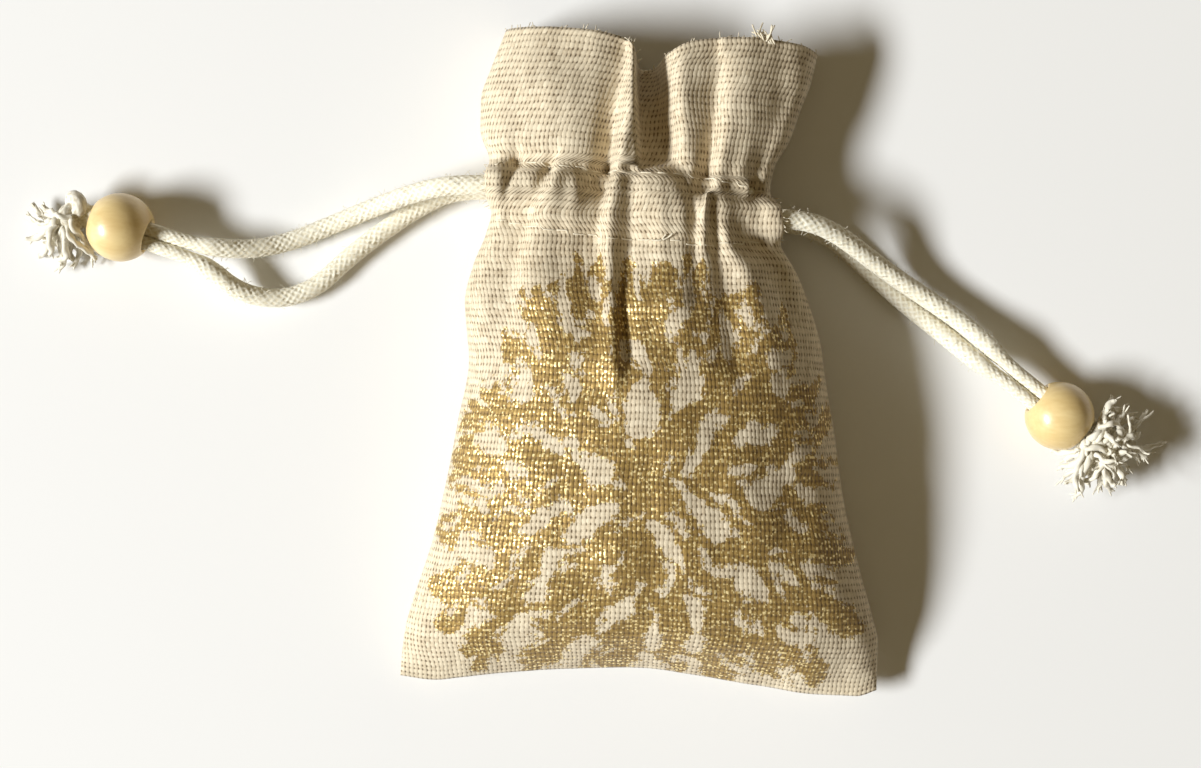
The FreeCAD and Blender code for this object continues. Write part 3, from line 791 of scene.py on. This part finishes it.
def blurred(values, times):
    """A grid of vectors or values, each averaged with its neighbours a few times."""
    for _ in range(times):
        for axis in (0, 1):
            width = [(0, 0)] * values.ndim
            width[axis] = (1, 1)
            padded = np.pad(values, width, mode="edge")
            before = np.take(padded, range(0, values.shape[axis]), axis=axis)
            after = np.take(padded, range(2, values.shape[axis] + 2), axis=axis)
            values = 0.25 * before + 0.5 * values + 0.25 * after
    return values


def inward_of(grid, sign):
    """Directions towards the sack's inside, smooth enough for a layer to be set in by them."""
    return sign * unit(blurred(grid_normals(grid), 5))


COLUMNS, ROWS = 150, 214
SIM_STEP = 3                   # every third row and column takes part in the simulation
SIM_SCALE = 12.0               # the cloth solver works better on a larger piece
SIM_FRAMES = 16
SIM_CAP = 1.2                  # the furthest that a point may settle
LOOSE_HOLD = 0.35              # how firmly the cloth is held where nothing else holds it
CLOTH_SETTINGS = {"quality": 6, "mass": 0.25, "tension_stiffness": 12, "compression_stiffness": 12,
                  "shear_stiffness": 3, "bending_stiffness": 0.8, "air_damping": 4,
                  "vertex_group_mass": "hold", "pin_stiffness": 0.6}


def settle(name, grid, flat, hold):
    """The cloth relaxed by simulation from the shape worked out, held where hold is 1."""
    rows, columns = (np.unique(np.append(np.arange(0, count, SIM_STEP), count - 1))
                     for count in (ROWS, COLUMNS))
    chosen = np.ix_(rows, columns)
    start = grid[chosen]
    piece = mesh_object(name, start.reshape(-1, 3) * SIM_SCALE, grid_faces(len(rows), len(columns)))
    piece.shape_key_add(name="Basis")
    cut = piece.shape_key_add(name="cut")
    cut_points = np.zeros((start.shape[0] * start.shape[1], 3))
    cut_points[:, :2] = flat[chosen].reshape(-1, 2)
    cut.data.foreach_set("co", (cut_points * MM * SIM_SCALE).ravel())
    group = piece.vertex_groups.new(name="hold")
    for index, weight in enumerate(hold[chosen].ravel()):
        group.add([index], float(weight), "REPLACE")
    cloth = piece.modifiers.new("cloth", "CLOTH")
    for setting, value in CLOTH_SETTINGS.items():
        setattr(cloth.settings, setting, value)
    cloth.settings.rest_shape_key = cut
    cloth.settings.effector_weights.gravity = 0
    cloth.collision_settings.use_collision = False
    cloth.point_cache.frame_start = 1
    cloth.point_cache.frame_end = SIM_FRAMES
    scene = bpy.context.scene
    for frame_number in range(1, SIM_FRAMES + 1):
        scene.frame_set(frame_number)
    evaluated = piece.evaluated_get(bpy.context.evaluated_depsgraph_get())
    settled = np.empty(len(cut_points) * 3)
    evaluated.data.vertices.foreach_get("co", settled)
    scene.frame_set(1)
    bpy.data.objects.remove(piece)
    move = settled.reshape(start.shape) / (MM * SIM_SCALE) - start
    far = np.linalg.norm(move, axis=2)[:, :, None]
    move = move * np.minimum(1, SIM_CAP / np.maximum(far, 1e-6))
    by_column = np.stack([[np.interp(np.arange(COLUMNS), columns, line[:, k]) for k in range(3)]
                          for line in move])
    full = np.stack([[np.interp(np.arange(ROWS), rows, by_column[:, k, i])
                      for k in range(3)] for i in range(COLUMNS)])
    return grid + blurred(full.transpose(2, 0, 1), 2)


def hold_weights(grid):
    """How firmly each point is held: at the seams, the bottom, the mouth and the channels."""
    x, y = grid[:, :, 0], grid[:, :, 1]
    upper, lower = gather_distances(x, y)
    hold = np.full(x.shape, LOOSE_HOLD)
    hold = np.maximum(hold, np.exp(-(np.minimum(upper, lower) / 3.0) ** 2))
    hold = np.maximum(hold, smooth_step(22, 26, y) * (1 - smooth_step(39, 42, y)))
    column = np.minimum(np.arange(COLUMNS), np.arange(COLUMNS)[::-1])
    row = np.minimum(np.arange(ROWS), np.arange(ROWS)[::-1] * 2)
    hold = np.maximum(hold, np.exp(-column / 3.0)[None, :])
    return np.maximum(hold, np.exp(-row / 3.0)[:, None])


CLOTH = 0.55                   # thickness of one layer
HEM_OFFSET = 0.75              # from the outer layer in to the turned-in one
CHANNEL_DEPTH = 5.4            # how much further in that is under the cords
HEM_EDGE_Y = 24.6
CHANNEL_Y = (24.5, 38.5)       # the channel lies between these


def layered(outer, uvs, inward, thickness=CLOTH):
    """A closed shape of cloth: the outer grid, a copy set inwards, and the rim between."""
    rows, columns = outer.shape[:2]
    inner = outer + inward * thickness
    points = np.concatenate([outer.reshape(-1, 3), inner.reshape(-1, 3)])
    both_uvs = np.concatenate([uvs.reshape(-1, 2)] * 2)
    count = rows * columns
    up = np.sum(grid_normals(outer) * inward) < 0
    faces = grid_faces(rows, columns, flip=not up)
    faces += grid_faces(rows, columns, start=count, flip=up)
    rim = ([(0, i) for i in range(columns)] + [(j, columns - 1) for j in range(1, rows)]
           + [(rows - 1, i) for i in range(columns - 2, -1, -1)]
           + [(j, 0) for j in range(rows - 2, 0, -1)])
    ids = [j * columns + i for j, i in rim]
    for a, b in zip(ids, ids[1:] + ids[:1]):
        quad = (b, a, a + count, b + count)
        faces.append(quad if up else quad[::-1])
    return points, faces, both_uvs


front_grid, front_uvs, front_cut = half_cloth(COLUMNS, ROWS, True)
back_grid, back_uvs, back_cut = half_cloth(COLUMNS, ROWS, False)
front_grid = settle("front_sim", front_grid, front_cut, hold_weights(front_grid))
front_grid[:, :, 2] = np.maximum(front_grid[:, :, 2],
                                 cord_dome(front_grid[:, :, 0], front_grid[:, :, 1]))
back_grid = settle("back_sim", back_grid, back_cut, hold_weights(back_grid))
back_grid[:, :, 2] = np.maximum(back_grid[:, :, 2], BACK_CLEARANCE)

front_in = inward_of(front_grid, -1)
back_in = inward_of(back_grid, 1)

front = make_piece("front_cloth", layered(front_grid, front_uvs, front_in), "sack",
                   "printed_cloth", "printed_cotton_weave", "front_panel", "bottom_fold")
back = make_piece("back_cloth", layered(back_grid, back_uvs, back_in), "sack",
                  "plain_cloth", "plain_cotton_weave", "back_panel")


def make_facing(name, grid, uvs, inward, node):
    """The turned-in top of the cloth. It lies against the outer layer, and under the cords."""
    first = int(np.argmax(grid[:, COLUMNS // 2, 1] > HEM_EDGE_Y))
    outer = grid[first:]
    upper, lower = gather_distances(outer[:, :, 0], outer[:, :, 1])
    between = (outer[:, :, 1] > CHANNEL_Y[0]) & (outer[:, :, 1] < CHANNEL_Y[1])
    deep = smooth_step(0, 2.4, np.where(between, np.minimum(upper, lower), 0))
    offset = HEM_OFFSET + CHANNEL_DEPTH * blurred(deep, 3)
    straight_in = np.zeros(outer.shape)
    straight_in[:, :, 2] = np.sign(inward[0, COLUMNS // 2, 2])
    direction = unit(inward[first:] + straight_in * deep[:, :, None] * 3)
    inner = outer + direction * offset[:, :, None]
    inner[-1, :, 1] -= 0.2
    return make_piece(name, layered(inner, uvs[first:], direction), "sack", "plain_cloth",
                      "plain_cotton_weave", node)


front_facing = make_facing("front_hem", front_grid, front_uvs, front_in, "front_facing")
back_facing = make_facing("back_hem", back_grid, back_uvs, back_in, "back_facing")


# ---- seams, stitches, loose ends
SEAM_ALLOWANCE = 6.0
SEAM_INSET = 1.1               # of the allowances, from the cloth's edge
THREAD_RADIUS = 0.15
STITCH_LENGTH, STITCH_PITCH = 2.3, 3.2
EDGE_YARNS, TUFT_YARNS = 46, 15
SLEEVE_YARN, FINE_YARN, THICK_YARN = 0.07, 0.09, 0.17
TUFT_PLACE, THREAD_END_PLACE = (20.6, 65.4), (1.2, 24.2)


def surface_point(grid, x, y):
    """The point of a cloth grid that is nearest in plan to x, y."""
    near = np.argmin((grid[:, :, 0] - x) ** 2 + (grid[:, :, 1] - y) ** 2)
    return grid.reshape(-1, 3)[near]


def sewn_row(name, line, lay_on, arch, step, node):
    """A row of stitches along a line, each of five points that are laid on and then arched."""
    line, _ = resample(line, STITCH_PITCH)
    share = np.linspace(0, STITCH_LENGTH / STITCH_PITCH, 5)[:, None]
    parts = []
    for start, following in zip(line[:-1], line[1:]):
        path = lay_on(start + (following - start) * share)
        path[:, 2] += arch(np.sin(np.linspace(0, math.pi, 5)))
        parts.append(tube(path, THREAD_RADIUS, 8, step=step))
    return make_piece(name, join_parts(parts), "sack", "sewing_thread", "thread_cotton", node)


def make_stitches(node, gather, grid, outward):
    """The stitches that follow a line of gathers over the cloth."""
    line = np.array([(x, y, 0) for x, y in gather], float)
    return sewn_row(node + "_thread", line,
                    lambda path: np.array([surface_point(grid, x, y) for x, y, _ in path]),
                    lambda bow: outward * (bow * 0.2 - 0.1), 0.3, node)


def make_side_seam(side):
    """The two seam allowances, sewn together and turned inside, and their row of stitches."""
    edge_column = 0 if side == "left" else COLUMNS - 1
    last = int(np.argmax(front_grid[:, edge_column, 1] > HEM_EDGE_Y))
    edge = (front_grid[4:last:2, edge_column] + back_grid[4:last:2, edge_column]) / 2
    across = np.linspace(SEAM_INSET, SEAM_ALLOWANCE, 8)
    ruffle = 0.5 * np.sin(edge[:, 1] / 4.3)
    sheet = edge[:, None, :] + np.zeros((1, 8, 1))
    sheet[:, :, 0] -= SIDES[side]["out"] * across
    sheet[:, :, 2] += ruffle[:, None] * (across / SEAM_ALLOWANCE) ** 2
    uvs = np.stack([np.broadcast_to(across, sheet.shape[:2]), sheet[:, :, 1]], axis=2)
    down = np.zeros(sheet.shape)
    down[:, :, 2] = -1
    make_piece(side + "_seam_allowance", layered(sheet, uvs, down, 2 * CLOTH), "sack",
               "plain_cloth", "plain_cotton_weave", side + "_side_seam")
    sewn_row(side + "_seam_thread", sheet[:, 3], lambda path: path, lambda bow: bow * 0.25, 0.4,
             side + "_seam_stitches")


def make_loose_threads():
    """Short ends of yarn that stand out of the mouth's edge and the seams of the casing."""
    random = np.random.default_rng(77)
    parts = []

    def end_of_yarn(root, heading, reach, radius):
        heading = unit(heading)
        t = np.linspace(0, 1, 12)
        side = np.cross(heading, (0, 0, 1.0))
        side /= max(np.linalg.norm(side), 0.1)
        bend = random.uniform(-0.9, 0.9) * reach * 0.5
        line = root + np.outer(t * reach, heading) + np.outer(bend * t ** 2, side)
        line[:, 2] += 0.25 * np.sin(TAU * (t + random.uniform())) * t
        parts.append(tube(line, radius, 6, step=0.35))

    for _ in range(EDGE_YARNS):
        root = front_grid[-1, random.integers(3, COLUMNS - 3)] - (0, 0.2, 0.3)
        heading = (random.uniform(-0.8, 0.8), 1.0, random.uniform(-0.5, 0.6))
        end_of_yarn(root, heading, random.uniform(0.5, 1.5), FINE_YARN)
    tuft = surface_point(front_grid, *TUFT_PLACE)
    for _ in range(TUFT_YARNS):
        heading = (random.uniform(-0.9, 0.9), 1.0, random.uniform(-0.2, 0.5))
        root = tuft + (random.uniform(-1.3, 1.9), -0.4, -0.3)
        end_of_yarn(root, heading, random.uniform(2.2, 4.2), THICK_YARN)
    for side, edge_column in (("left", 0), ("right", COLUMNS - 1)):
        out = SIDES[side]["out"]
        near = np.abs(front_grid[:, edge_column, 1] - SIDES[side]["y"]) < 4.5
        for row in np.flatnonzero(near):
            heading = (out, random.uniform(-0.8, 0.8), random.uniform(0.0, 0.4))
            end_of_yarn(front_grid[row, edge_column] - (out * 0.3, 0, 0.1), heading,
                        random.uniform(0.7, 1.6), SLEEVE_YARN)
    thread_end = surface_point(front_grid, *THREAD_END_PLACE) + (0, 0, 0.25)
    for heading, reach in (((-1.0, -0.35, 0.0), 2.0), ((1.0, 0.2, 0.1), 2.2), ((0.3, 1, 0.2), 1.2)):
        end_of_yarn(thread_end, heading, reach, THICK_YARN)
    return make_piece("loose_threads", join_parts(parts), "sack", "sewing_thread", "thread_cotton")


stitch_rows = [make_stitches(face + "_" + place + "_channel_stitches", gather, grid, outward)
               for face, grid, outward in (("front", front_grid, 1), ("back", back_grid, -1))
               for place, gather in (("upper", UPPER_GATHER), ("lower", LOWER_GATHER))]
for cord_side in SIDES:
    make_side_seam(cord_side)
loose_threads = make_loose_threads()


# ---- materials
MATERIALS = {}


def feed(tree, node, inputs):
    """Gives each named input of a shader node its number, colour, socket or Value."""
    for name, value in inputs.items():
        slot = node.inputs[name]
        if isinstance(value, Value):
            tree.links.new(value.socket, slot)
        elif isinstance(value, bpy.types.NodeSocket):
            tree.links.new(value, slot)
        elif slot.type == "RGBA":
            slot.default_value = (*value, 1)
        else:
            slot.default_value = value


def add_node(tree, kind, inputs, output=0, **settings):
    """The output of a new shader node."""
    node = tree.nodes.new("ShaderNode" + kind)
    for name, setting in settings.items():
        setattr(node, name, setting)
    feed(tree, node, inputs)
    return node.outputs[output]


class Value:
    """A shader value that can be written as arithmetic."""

    def __init__(self, tree, socket):
        self.tree = tree
        self.socket = socket

    def apply(self, operation, *others):
        inputs = dict(enumerate((self, *others)))
        return Value(self.tree, add_node(self.tree, "Math", inputs, operation=operation))

    def __add__(self, other):
        return self.apply("ADD", other)

    def __sub__(self, other):
        return self.apply("SUBTRACT", other)

    def __mul__(self, other):
        return self.apply("MULTIPLY", other)

    def __truediv__(self, other):
        return self.apply("DIVIDE", other)

    def __rsub__(self, other):
        return self * -1.0 + other

    __radd__ = __add__
    __rmul__ = __mul__

    def step(self, low, high):
        """Smooth step from 0 at low to 1 at high."""
        inputs = {"Value": self, "From Min": low, "From Max": high}
        return Value(self.tree, add_node(self.tree, "MapRange", inputs, "Result",
                                         interpolation_type="SMOOTHSTEP"))


def new_material(name):
    material = MATERIALS[name] = bpy.data.materials.new(name)
    material.use_nodes = True
    tree = material.node_tree
    return tree, tree.nodes["Principled BSDF"]


def uv_values(tree):
    parts = tree.nodes.new("ShaderNodeSeparateXYZ")
    feed(tree, parts, {0: add_node(tree, "UVMap", {}, uv_map="weave")})
    return Value(tree, parts.outputs[0]), Value(tree, parts.outputs[1])


def combine(tree, x, y, z=0.0):
    return add_node(tree, "CombineXYZ", {0: x, 1: y, 2: z})


def noise(tree, vector, scale, detail=2.0):
    inputs = {"Vector": vector, "Scale": scale, "Detail": detail}
    return Value(tree, add_node(tree, "TexNoise", inputs))


def cell_random(tree, x, y):
    inputs = {"Vector": combine(tree, x.apply("FLOOR"), y.apply("FLOOR"))}
    return Value(tree, add_node(tree, "TexWhiteNoise", inputs, "Value", noise_dimensions="2D"))


def object_place(tree):
    return add_node(tree, "TexCoord", {}, "Object")


def mix_colour(tree, amount, first, second):
    return add_node(tree, "Mix", {0: amount, 6: first, 7: second}, 2, data_type="RGBA")


def bump(tree, height, distance):
    return add_node(tree, "Bump", {"Height": height, "Distance": distance, "Strength": 1.0})


WARP_PITCH = 0.92              # spacing of the yarns that run along the sack
WEFT_PITCH = 1.40              # and of those that run across it
# Painted shade: the gaps between the yarns are painted dark brown, for the shaded inside of the sack
# seen through them.
HOLE_SHADE_COLOUR = (0.125, 0.082, 0.04)
# The yarns' darker and lighter colours. The mix between them follows the yarns' own uneven tone and
# also painted light: crowns lighter, sides darker.
DARK_YARN = (0.50, 0.395, 0.255)
LIGHT_YARN = (0.78, 0.675, 0.495)
# The gold print's colour painted lit, and painted in shade.
GOLD_PAINTED_LIT = (0.47, 0.31, 0.09)
GOLD_PAINTED_SHADE = (0.235, 0.14, 0.036)
# The gold painted dark in the gaps between the yarns: painted shade.
GOLD_HOLE_SHADE = (0.11, 0.062, 0.018)
GOLD_GLINT = (1.0, 0.82, 0.42)


def weave_values(tree):
    """Plain weave from the cloth's own length and width: its height, yarns and holes."""
    u, v = uv_values(tree)
    flow = combine(tree, u, v)
    u = u + (noise(tree, flow, 0.16, 3.0) - 0.5) * 0.9
    v = v + (noise(tree, combine(tree, v, u, 7.0), 0.16, 3.0) - 0.5) * 0.9
    across, along = u / WARP_PITCH, v / WEFT_PITCH
    warp_wave = (across * math.pi).apply("SINE")
    weft_wave = (along * math.pi).apply("SINE")
    warp_even, weft_even = warp_wave.apply("SIGN"), weft_wave.apply("SIGN")
    slub_warp = noise(tree, combine(tree, across.apply("FLOOR") * 3.7, v, 1.0), 0.22, 1.0)
    slub_weft = noise(tree, combine(tree, u, along.apply("FLOOR") * 3.7, 5.0), 0.22, 1.0)

    def yarn(place, slub, gap_from, gap_to):
        """How round the yarn stands at each place across it, and how open the gap beside it is."""
        off_centre = (place.apply("FRACT") - 0.5).apply("ABSOLUTE") * 2.0
        over = off_centre / (slub * 0.34 + 0.76)
        gap = (off_centre + (0.5 - slub) * 0.9).step(gap_from, gap_to)
        return (1.0 - over * over).apply("MAXIMUM", 0.0).apply("SQRT"), gap

    warp_round, warp_gap = yarn(across, slub_warp, 0.52, 0.98)
    weft_round, weft_gap = yarn(along, slub_weft, 0.30, 0.86)
    warp_height = warp_round * 0.62 + (warp_even * weft_wave * 0.38) * warp_round.step(0.0, 0.3)
    weft_height = weft_round * 0.62 - (weft_even * warp_wave * 0.38) * weft_round.step(0.0, 0.3)
    height = warp_height.apply("MAXIMUM", weft_height)
    is_warp = (warp_height - weft_height).step(-0.08, 0.08)
    slub = slub_warp * is_warp + slub_weft * (1.0 - is_warp)
    return u, v, across, along, height, slub, warp_gap * weft_gap


def cloth_material(name, printed):
    tree, shader = new_material(name)
    u, v, across, along, height, slub, hole = weave_values(tree)
    fibre = noise(tree, combine(tree, u, v, 3.0), 3.4, 2.0)
    stain = noise(tree, combine(tree, u, v, 9.0), 0.055, 3.0)
    tone = (slub - 0.5) * 1.1 + (fibre - 0.5) * 0.9 + 0.5 + (stain - 0.5) * 0.5
    # Painted light and shade on each yarn: its crown is painted lighter and its sides darker, on top
    # of its own uneven tone.
    tone_and_crown_light = (tone + (height - 0.6) * 0.4).step(0.0, 1.0)
    # The gaps between the yarns get the painted hole shade.
    colour = mix_colour(tree, hole, mix_colour(tree, tone_and_crown_light, DARK_YARN, LIGHT_YARN), HOLE_SHADE_COLOUR)
    bump_height = height + (fibre - 0.5) * 0.22
    feed(tree, shader, {"Roughness": 0.9, "Sheen Weight": 0.12, "Sheen Roughness": 0.5})
    if printed:
        edge = Value(tree, add_node(tree, "Attribute", {}, "Fac", attribute_name="print_edge"))
        ragged = noise(tree, combine(tree, u, v, 13.0), 0.7, 3.0)
        speck = cell_random(tree, across * 2.0, along * 3.0)
        inside = edge + (height - 0.62) * 0.9 + (ragged - 0.5) * 2.0 + (speck - 0.5) * 0.6
        mask = inside.step(-0.12, 0.16)
        glint = cell_random(tree, across * 2.0 + 31.0, along * 3.0)
        # Painted light and shade on the gold: raised crowns and random cells painted lit, the rest
        # painted in shade.
        gold_lit = (glint * 0.7 + (height - 0.35) * 0.8).step(0.1, 1.15)
        gold = mix_colour(tree, gold_lit, GOLD_PAINTED_SHADE, GOLD_PAINTED_LIT)
        # Painted shade: the gold is darker where the gaps between the yarns are.
        gold = mix_colour(tree, hole * 0.9, gold, GOLD_HOLE_SHADE)
        # Painted highlight: bright glints on random cells of the gold's crowns.
        painted_glint = (glint + (height - 0.75) * 0.5).step(0.80, 0.93)
        gold = mix_colour(tree, painted_glint, gold, GOLD_GLINT)
        colour = mix_colour(tree, mask, colour, gold)
        bump_height = bump_height + mask * (speck - 0.5) * 0.3
        feed(tree, shader, {"Metallic": mask * (glint * 0.3 + 0.2),
                            "Roughness": 0.88 - mask * (glint * 0.24 + 0.22)})
    feed(tree, shader, {"Base Color": colour, "Normal": bump(tree, bump_height, 0.15 * MM)})


def cord_material(name, light, dark, braid_shaded):
    tree, shader = new_material(name)
    s, w = uv_values(tree)
    fine = noise(tree, combine(tree, s + w * 0.9, w * 3.0, 2.0), 2.4, 3.0)
    lint = noise(tree, object_place(tree), 900.0, 3.0)
    tone = fine * 0.7 + lint * 0.4
    # Painted light and shade on the braid: its strands are painted lighter on their crowns and darker
    # in the grooves between them.
    if braid_shaded:
        loose = noise(tree, combine(tree, s, w, 4.0), 0.5, 1.0)
        round_it = w * (BRAID_STRANDS * 2 / CORD_DIA)
        turned = (s + (loose - 0.5) * 1.4) * (BRAID_STRANDS * TAU / BRAID_LEAD)
        over = round_it.apply("COSINE") * 0.4
        right = (round_it + turned).apply("COSINE") + over
        left = (round_it - turned).apply("COSINE") - over
        tone = tone + (right.apply("MAXIMUM", left) - 0.55) * (loose * 0.7 - 0.05)
    feed(tree, shader, {"Base Color": mix_colour(tree, tone.step(0.1, 0.95), dark, light),
                        "Roughness": 0.9, "Sheen Weight": 0.3, "Sheen Roughness": 0.5,
                        "Normal": bump(tree, fine * 0.6 + lint * 0.5, 0.07 * MM)})


def wood_material(name):
    tree, shader = new_material(name)
    place = add_node(tree, "Mapping", {"Vector": object_place(tree), "Scale": (60, 260, 260),
                                       "Rotation": (0.2, 0.5, 0.3)})
    rings = noise(tree, place, 1.0, 4.0)
    fine = noise(tree, place, 6.0, 3.0)
    tone = (rings * 0.9 + fine * 0.25).step(0.3, 0.85)
    colour = mix_colour(tree, tone, (0.70, 0.50, 0.21), (0.84, 0.65, 0.32))
    feed(tree, shader, {"Base Color": colour, "Roughness": 0.38, "Coat Weight": 0.35,
                        "Coat Roughness": 0.22, "Normal": bump(tree, fine, 0.05 * MM)})


# Each cotton's light and dark colour, and whether the grooves of its braid are painted darker, as
# painted shade.
COTTONS = {
    "cord_cotton": ((0.96, 0.925, 0.785), (0.74, 0.665, 0.485), True),
    # The knot's cord is the same cord painted darker: painted shade, since the knot faces the lamp.
    "knot_cotton_shaded": ((0.89, 0.85, 0.73), (0.58, 0.51, 0.38), True),
    "fringe_cotton": ((0.88, 0.84, 0.73), (0.66, 0.60, 0.46), False),
    "thread_cotton": ((0.84, 0.76, 0.60), (0.66, 0.58, 0.42), False),
}
cloth_material("plain_cotton_weave", False)
cloth_material("printed_cotton_weave", True)
wood_material("bead_wood_grain")
for cotton, cotton_looks in COTTONS.items():
    cord_material(cotton, *cotton_looks)
for looked_at, material_name in LOOKS:
    looked_at.data.materials.append(MATERIALS[material_name])


# ---- the print
PRINT_MIDDLE = (0.5, 47.5)      # on the flat cloth: across from the middle, up from the fold
PRINT_SHRINK = (0.96, 0.97, 0.88)   # of the ornament: across, above its middle and below it
PRINT_SQUARENESS = (2.2, 3.6)   # of its outline: above its middle and below it
PRINT_HEART = 32.0              # radius within which all is gold but for the open leaves
PRINT_WANDER = (1.1, 13.0)      # how far, and over what distance, its lines wander

# Rings of leaves, out from the middle: reach, how many in the full turn, length, half width.
GOLD_LEAVES = [(34.0, 21, 19.0, 5.2), (38.0, 29, 14.0, 3.8)]
OPEN_LEAVES = [(12.5, 6, 12.0, 3.5), (17.0, 12, 7.0, 1.5), (23.5, 11, 9.5, 3.2),
               (28.0, 19, 6.0, 1.2), (33.0, 17, 8.0, 2.3), (38.5, 22, 6.5, 1.8),
               (6.5, 6, 5.0, 0.9), (20.0, 16, 4.5, 0.9), (26.0, 22, 4.0, 0.8),
               (36.0, 34, 4.0, 0.8), (41.5, 34, 5.0, 1.0), (14.5, 9, 4.5, 0.8)]


def leaf_field(x, y, rings, seed, tilt):
    """How far each point is inside the nearest leaf of the rings. It's negative outside."""
    random = np.random.default_rng(seed)
    best = np.full(x.shape, -9.0)
    for reach, count, length, half_width in rings:
        first = random.uniform(0, TAU)
        for k in range(count):
            turn = first + TAU * (k + random.uniform(-0.22, 0.22)) / count
            away = reach + random.uniform(-1.8, 1.8)
            heading = turn + random.uniform(-tilt, tilt)
            size = length * random.uniform(0.7, 1.25)
            width = half_width * random.uniform(0.65, 1.3)
            lobes = random.integers(3, 6)
            dx, dy = x - away * math.cos(turn), y - away * math.sin(turn)
            along = dx * math.cos(heading) + dy * math.sin(heading)
            side = -dx * math.sin(heading) + dy * math.cos(heading)
            side = side - 0.02 * random.uniform(-1, 1) * along ** 2
            t = np.clip(along / size + 0.5, 0, 1)
            notch = 0.72 + 0.5 * ((t - np.abs(side) / size) * lobes % 1.0)
            half = width * (t ** 0.55 * (1 - t) ** 0.75) * 1.9 * notch
            beyond = np.maximum(np.abs(along) - size / 2, 0)
            best = np.maximum(best, half - np.abs(side) - beyond)
    return best


def print_edge(u, v):
    """How far inside the printed ornament each point is, in millimetres."""
    across, up, down = PRINT_SHRINK
    strength, scale = PRINT_WANDER
    x = (u - PRINT_MIDDLE[0]) * across + strength * wander(u, v, scale, 31)
    y = v - PRINT_MIDDLE[1]
    y = y * np.where(y > 0, up, down) + strength * wander(u, v, scale, 32)
    below = smooth_step(6, -20, y)
    power = PRINT_SQUARENESS[0] + (PRINT_SQUARENESS[1] - PRINT_SQUARENESS[0]) * below
    squared = (np.abs(x) ** power + np.abs(y) ** power) ** (1 / power)
    x, y = (place * squared / np.maximum(np.hypot(x, y), 0.01) for place in (x, y))
    gold = leaf_field(x, y, GOLD_LEAVES, 40, 0.3)
    gold = np.maximum(gold, PRINT_HEART + 1.6 * wander(u, v, 9.0, 33) - np.hypot(x, y))
    field = np.minimum(gold, -leaf_field(x, y, OPEN_LEAVES, 51, 0.5))
    return field + 0.3 * wander(u, v, 3.0, 61)


edge_values = print_edge(front_cut[:, :, 0].ravel(), front_cut[:, :, 1].ravel())
attribute = front.data.attributes.new("print_edge", "FLOAT", "POINT")
attribute.data.foreach_set("value", np.concatenate([edge_values, np.full_like(edge_values, -9.0)]))


# ---- stage
FLOOR_SIZE = 3.0
WINDOW = {"place": (-3.27, -0.86, 2.32), "size": (2.0, 0.85), "watts": 276,
          "colour": (0.957, 0.983, 1.0)}
ROOM_COLOUR = (1.0, 0.78, 0.42, 1)
ROOM_STRENGTH = 0.14


def make_stage():
    corners = [(x * FLOOR_SIZE, y * FLOOR_SIZE, 0) for x, y in ((-1, -1), (1, -1), (1, 1), (-1, 1))]
    mesh = bpy.data.meshes.new("floor")
    mesh.from_pydata(corners, [], [(0, 1, 2, 3)])
    floor = bpy.data.objects.new("floor", mesh)
    tree, shader = new_material("floor_white")
    feed(tree, shader, {"Base Color": (0.88, 0.875, 0.865), "Roughness": 0.7,
                        "Specular IOR Level": 0.2})
    mesh.materials.append(MATERIALS["floor_white"])
    data = bpy.data.lights.new("window", "AREA")
    data.shape = "ELLIPSE"
    data.size, data.size_y = WINDOW["size"]
    data.energy = WINDOW["watts"]
    data.color = WINDOW["colour"]
    lamp = bpy.data.objects.new("window", data)
    lamp.location = WINDOW["place"]
    lamp.rotation_euler = (-Vector(WINDOW["place"])).to_track_quat("-Z", "Y").to_euler()
    scene = bpy.context.scene
    for thing in (floor, lamp):
        scene.collection.objects.link(thing)
    scene.world = bpy.data.worlds.new("room")
    scene.world.use_nodes = True
    background = scene.world.node_tree.nodes["Background"]
    background.inputs[0].default_value = ROOM_COLOUR
    background.inputs[1].default_value = ROOM_STRENGTH
    scene.view_settings.view_transform = "Standard"


make_stage()
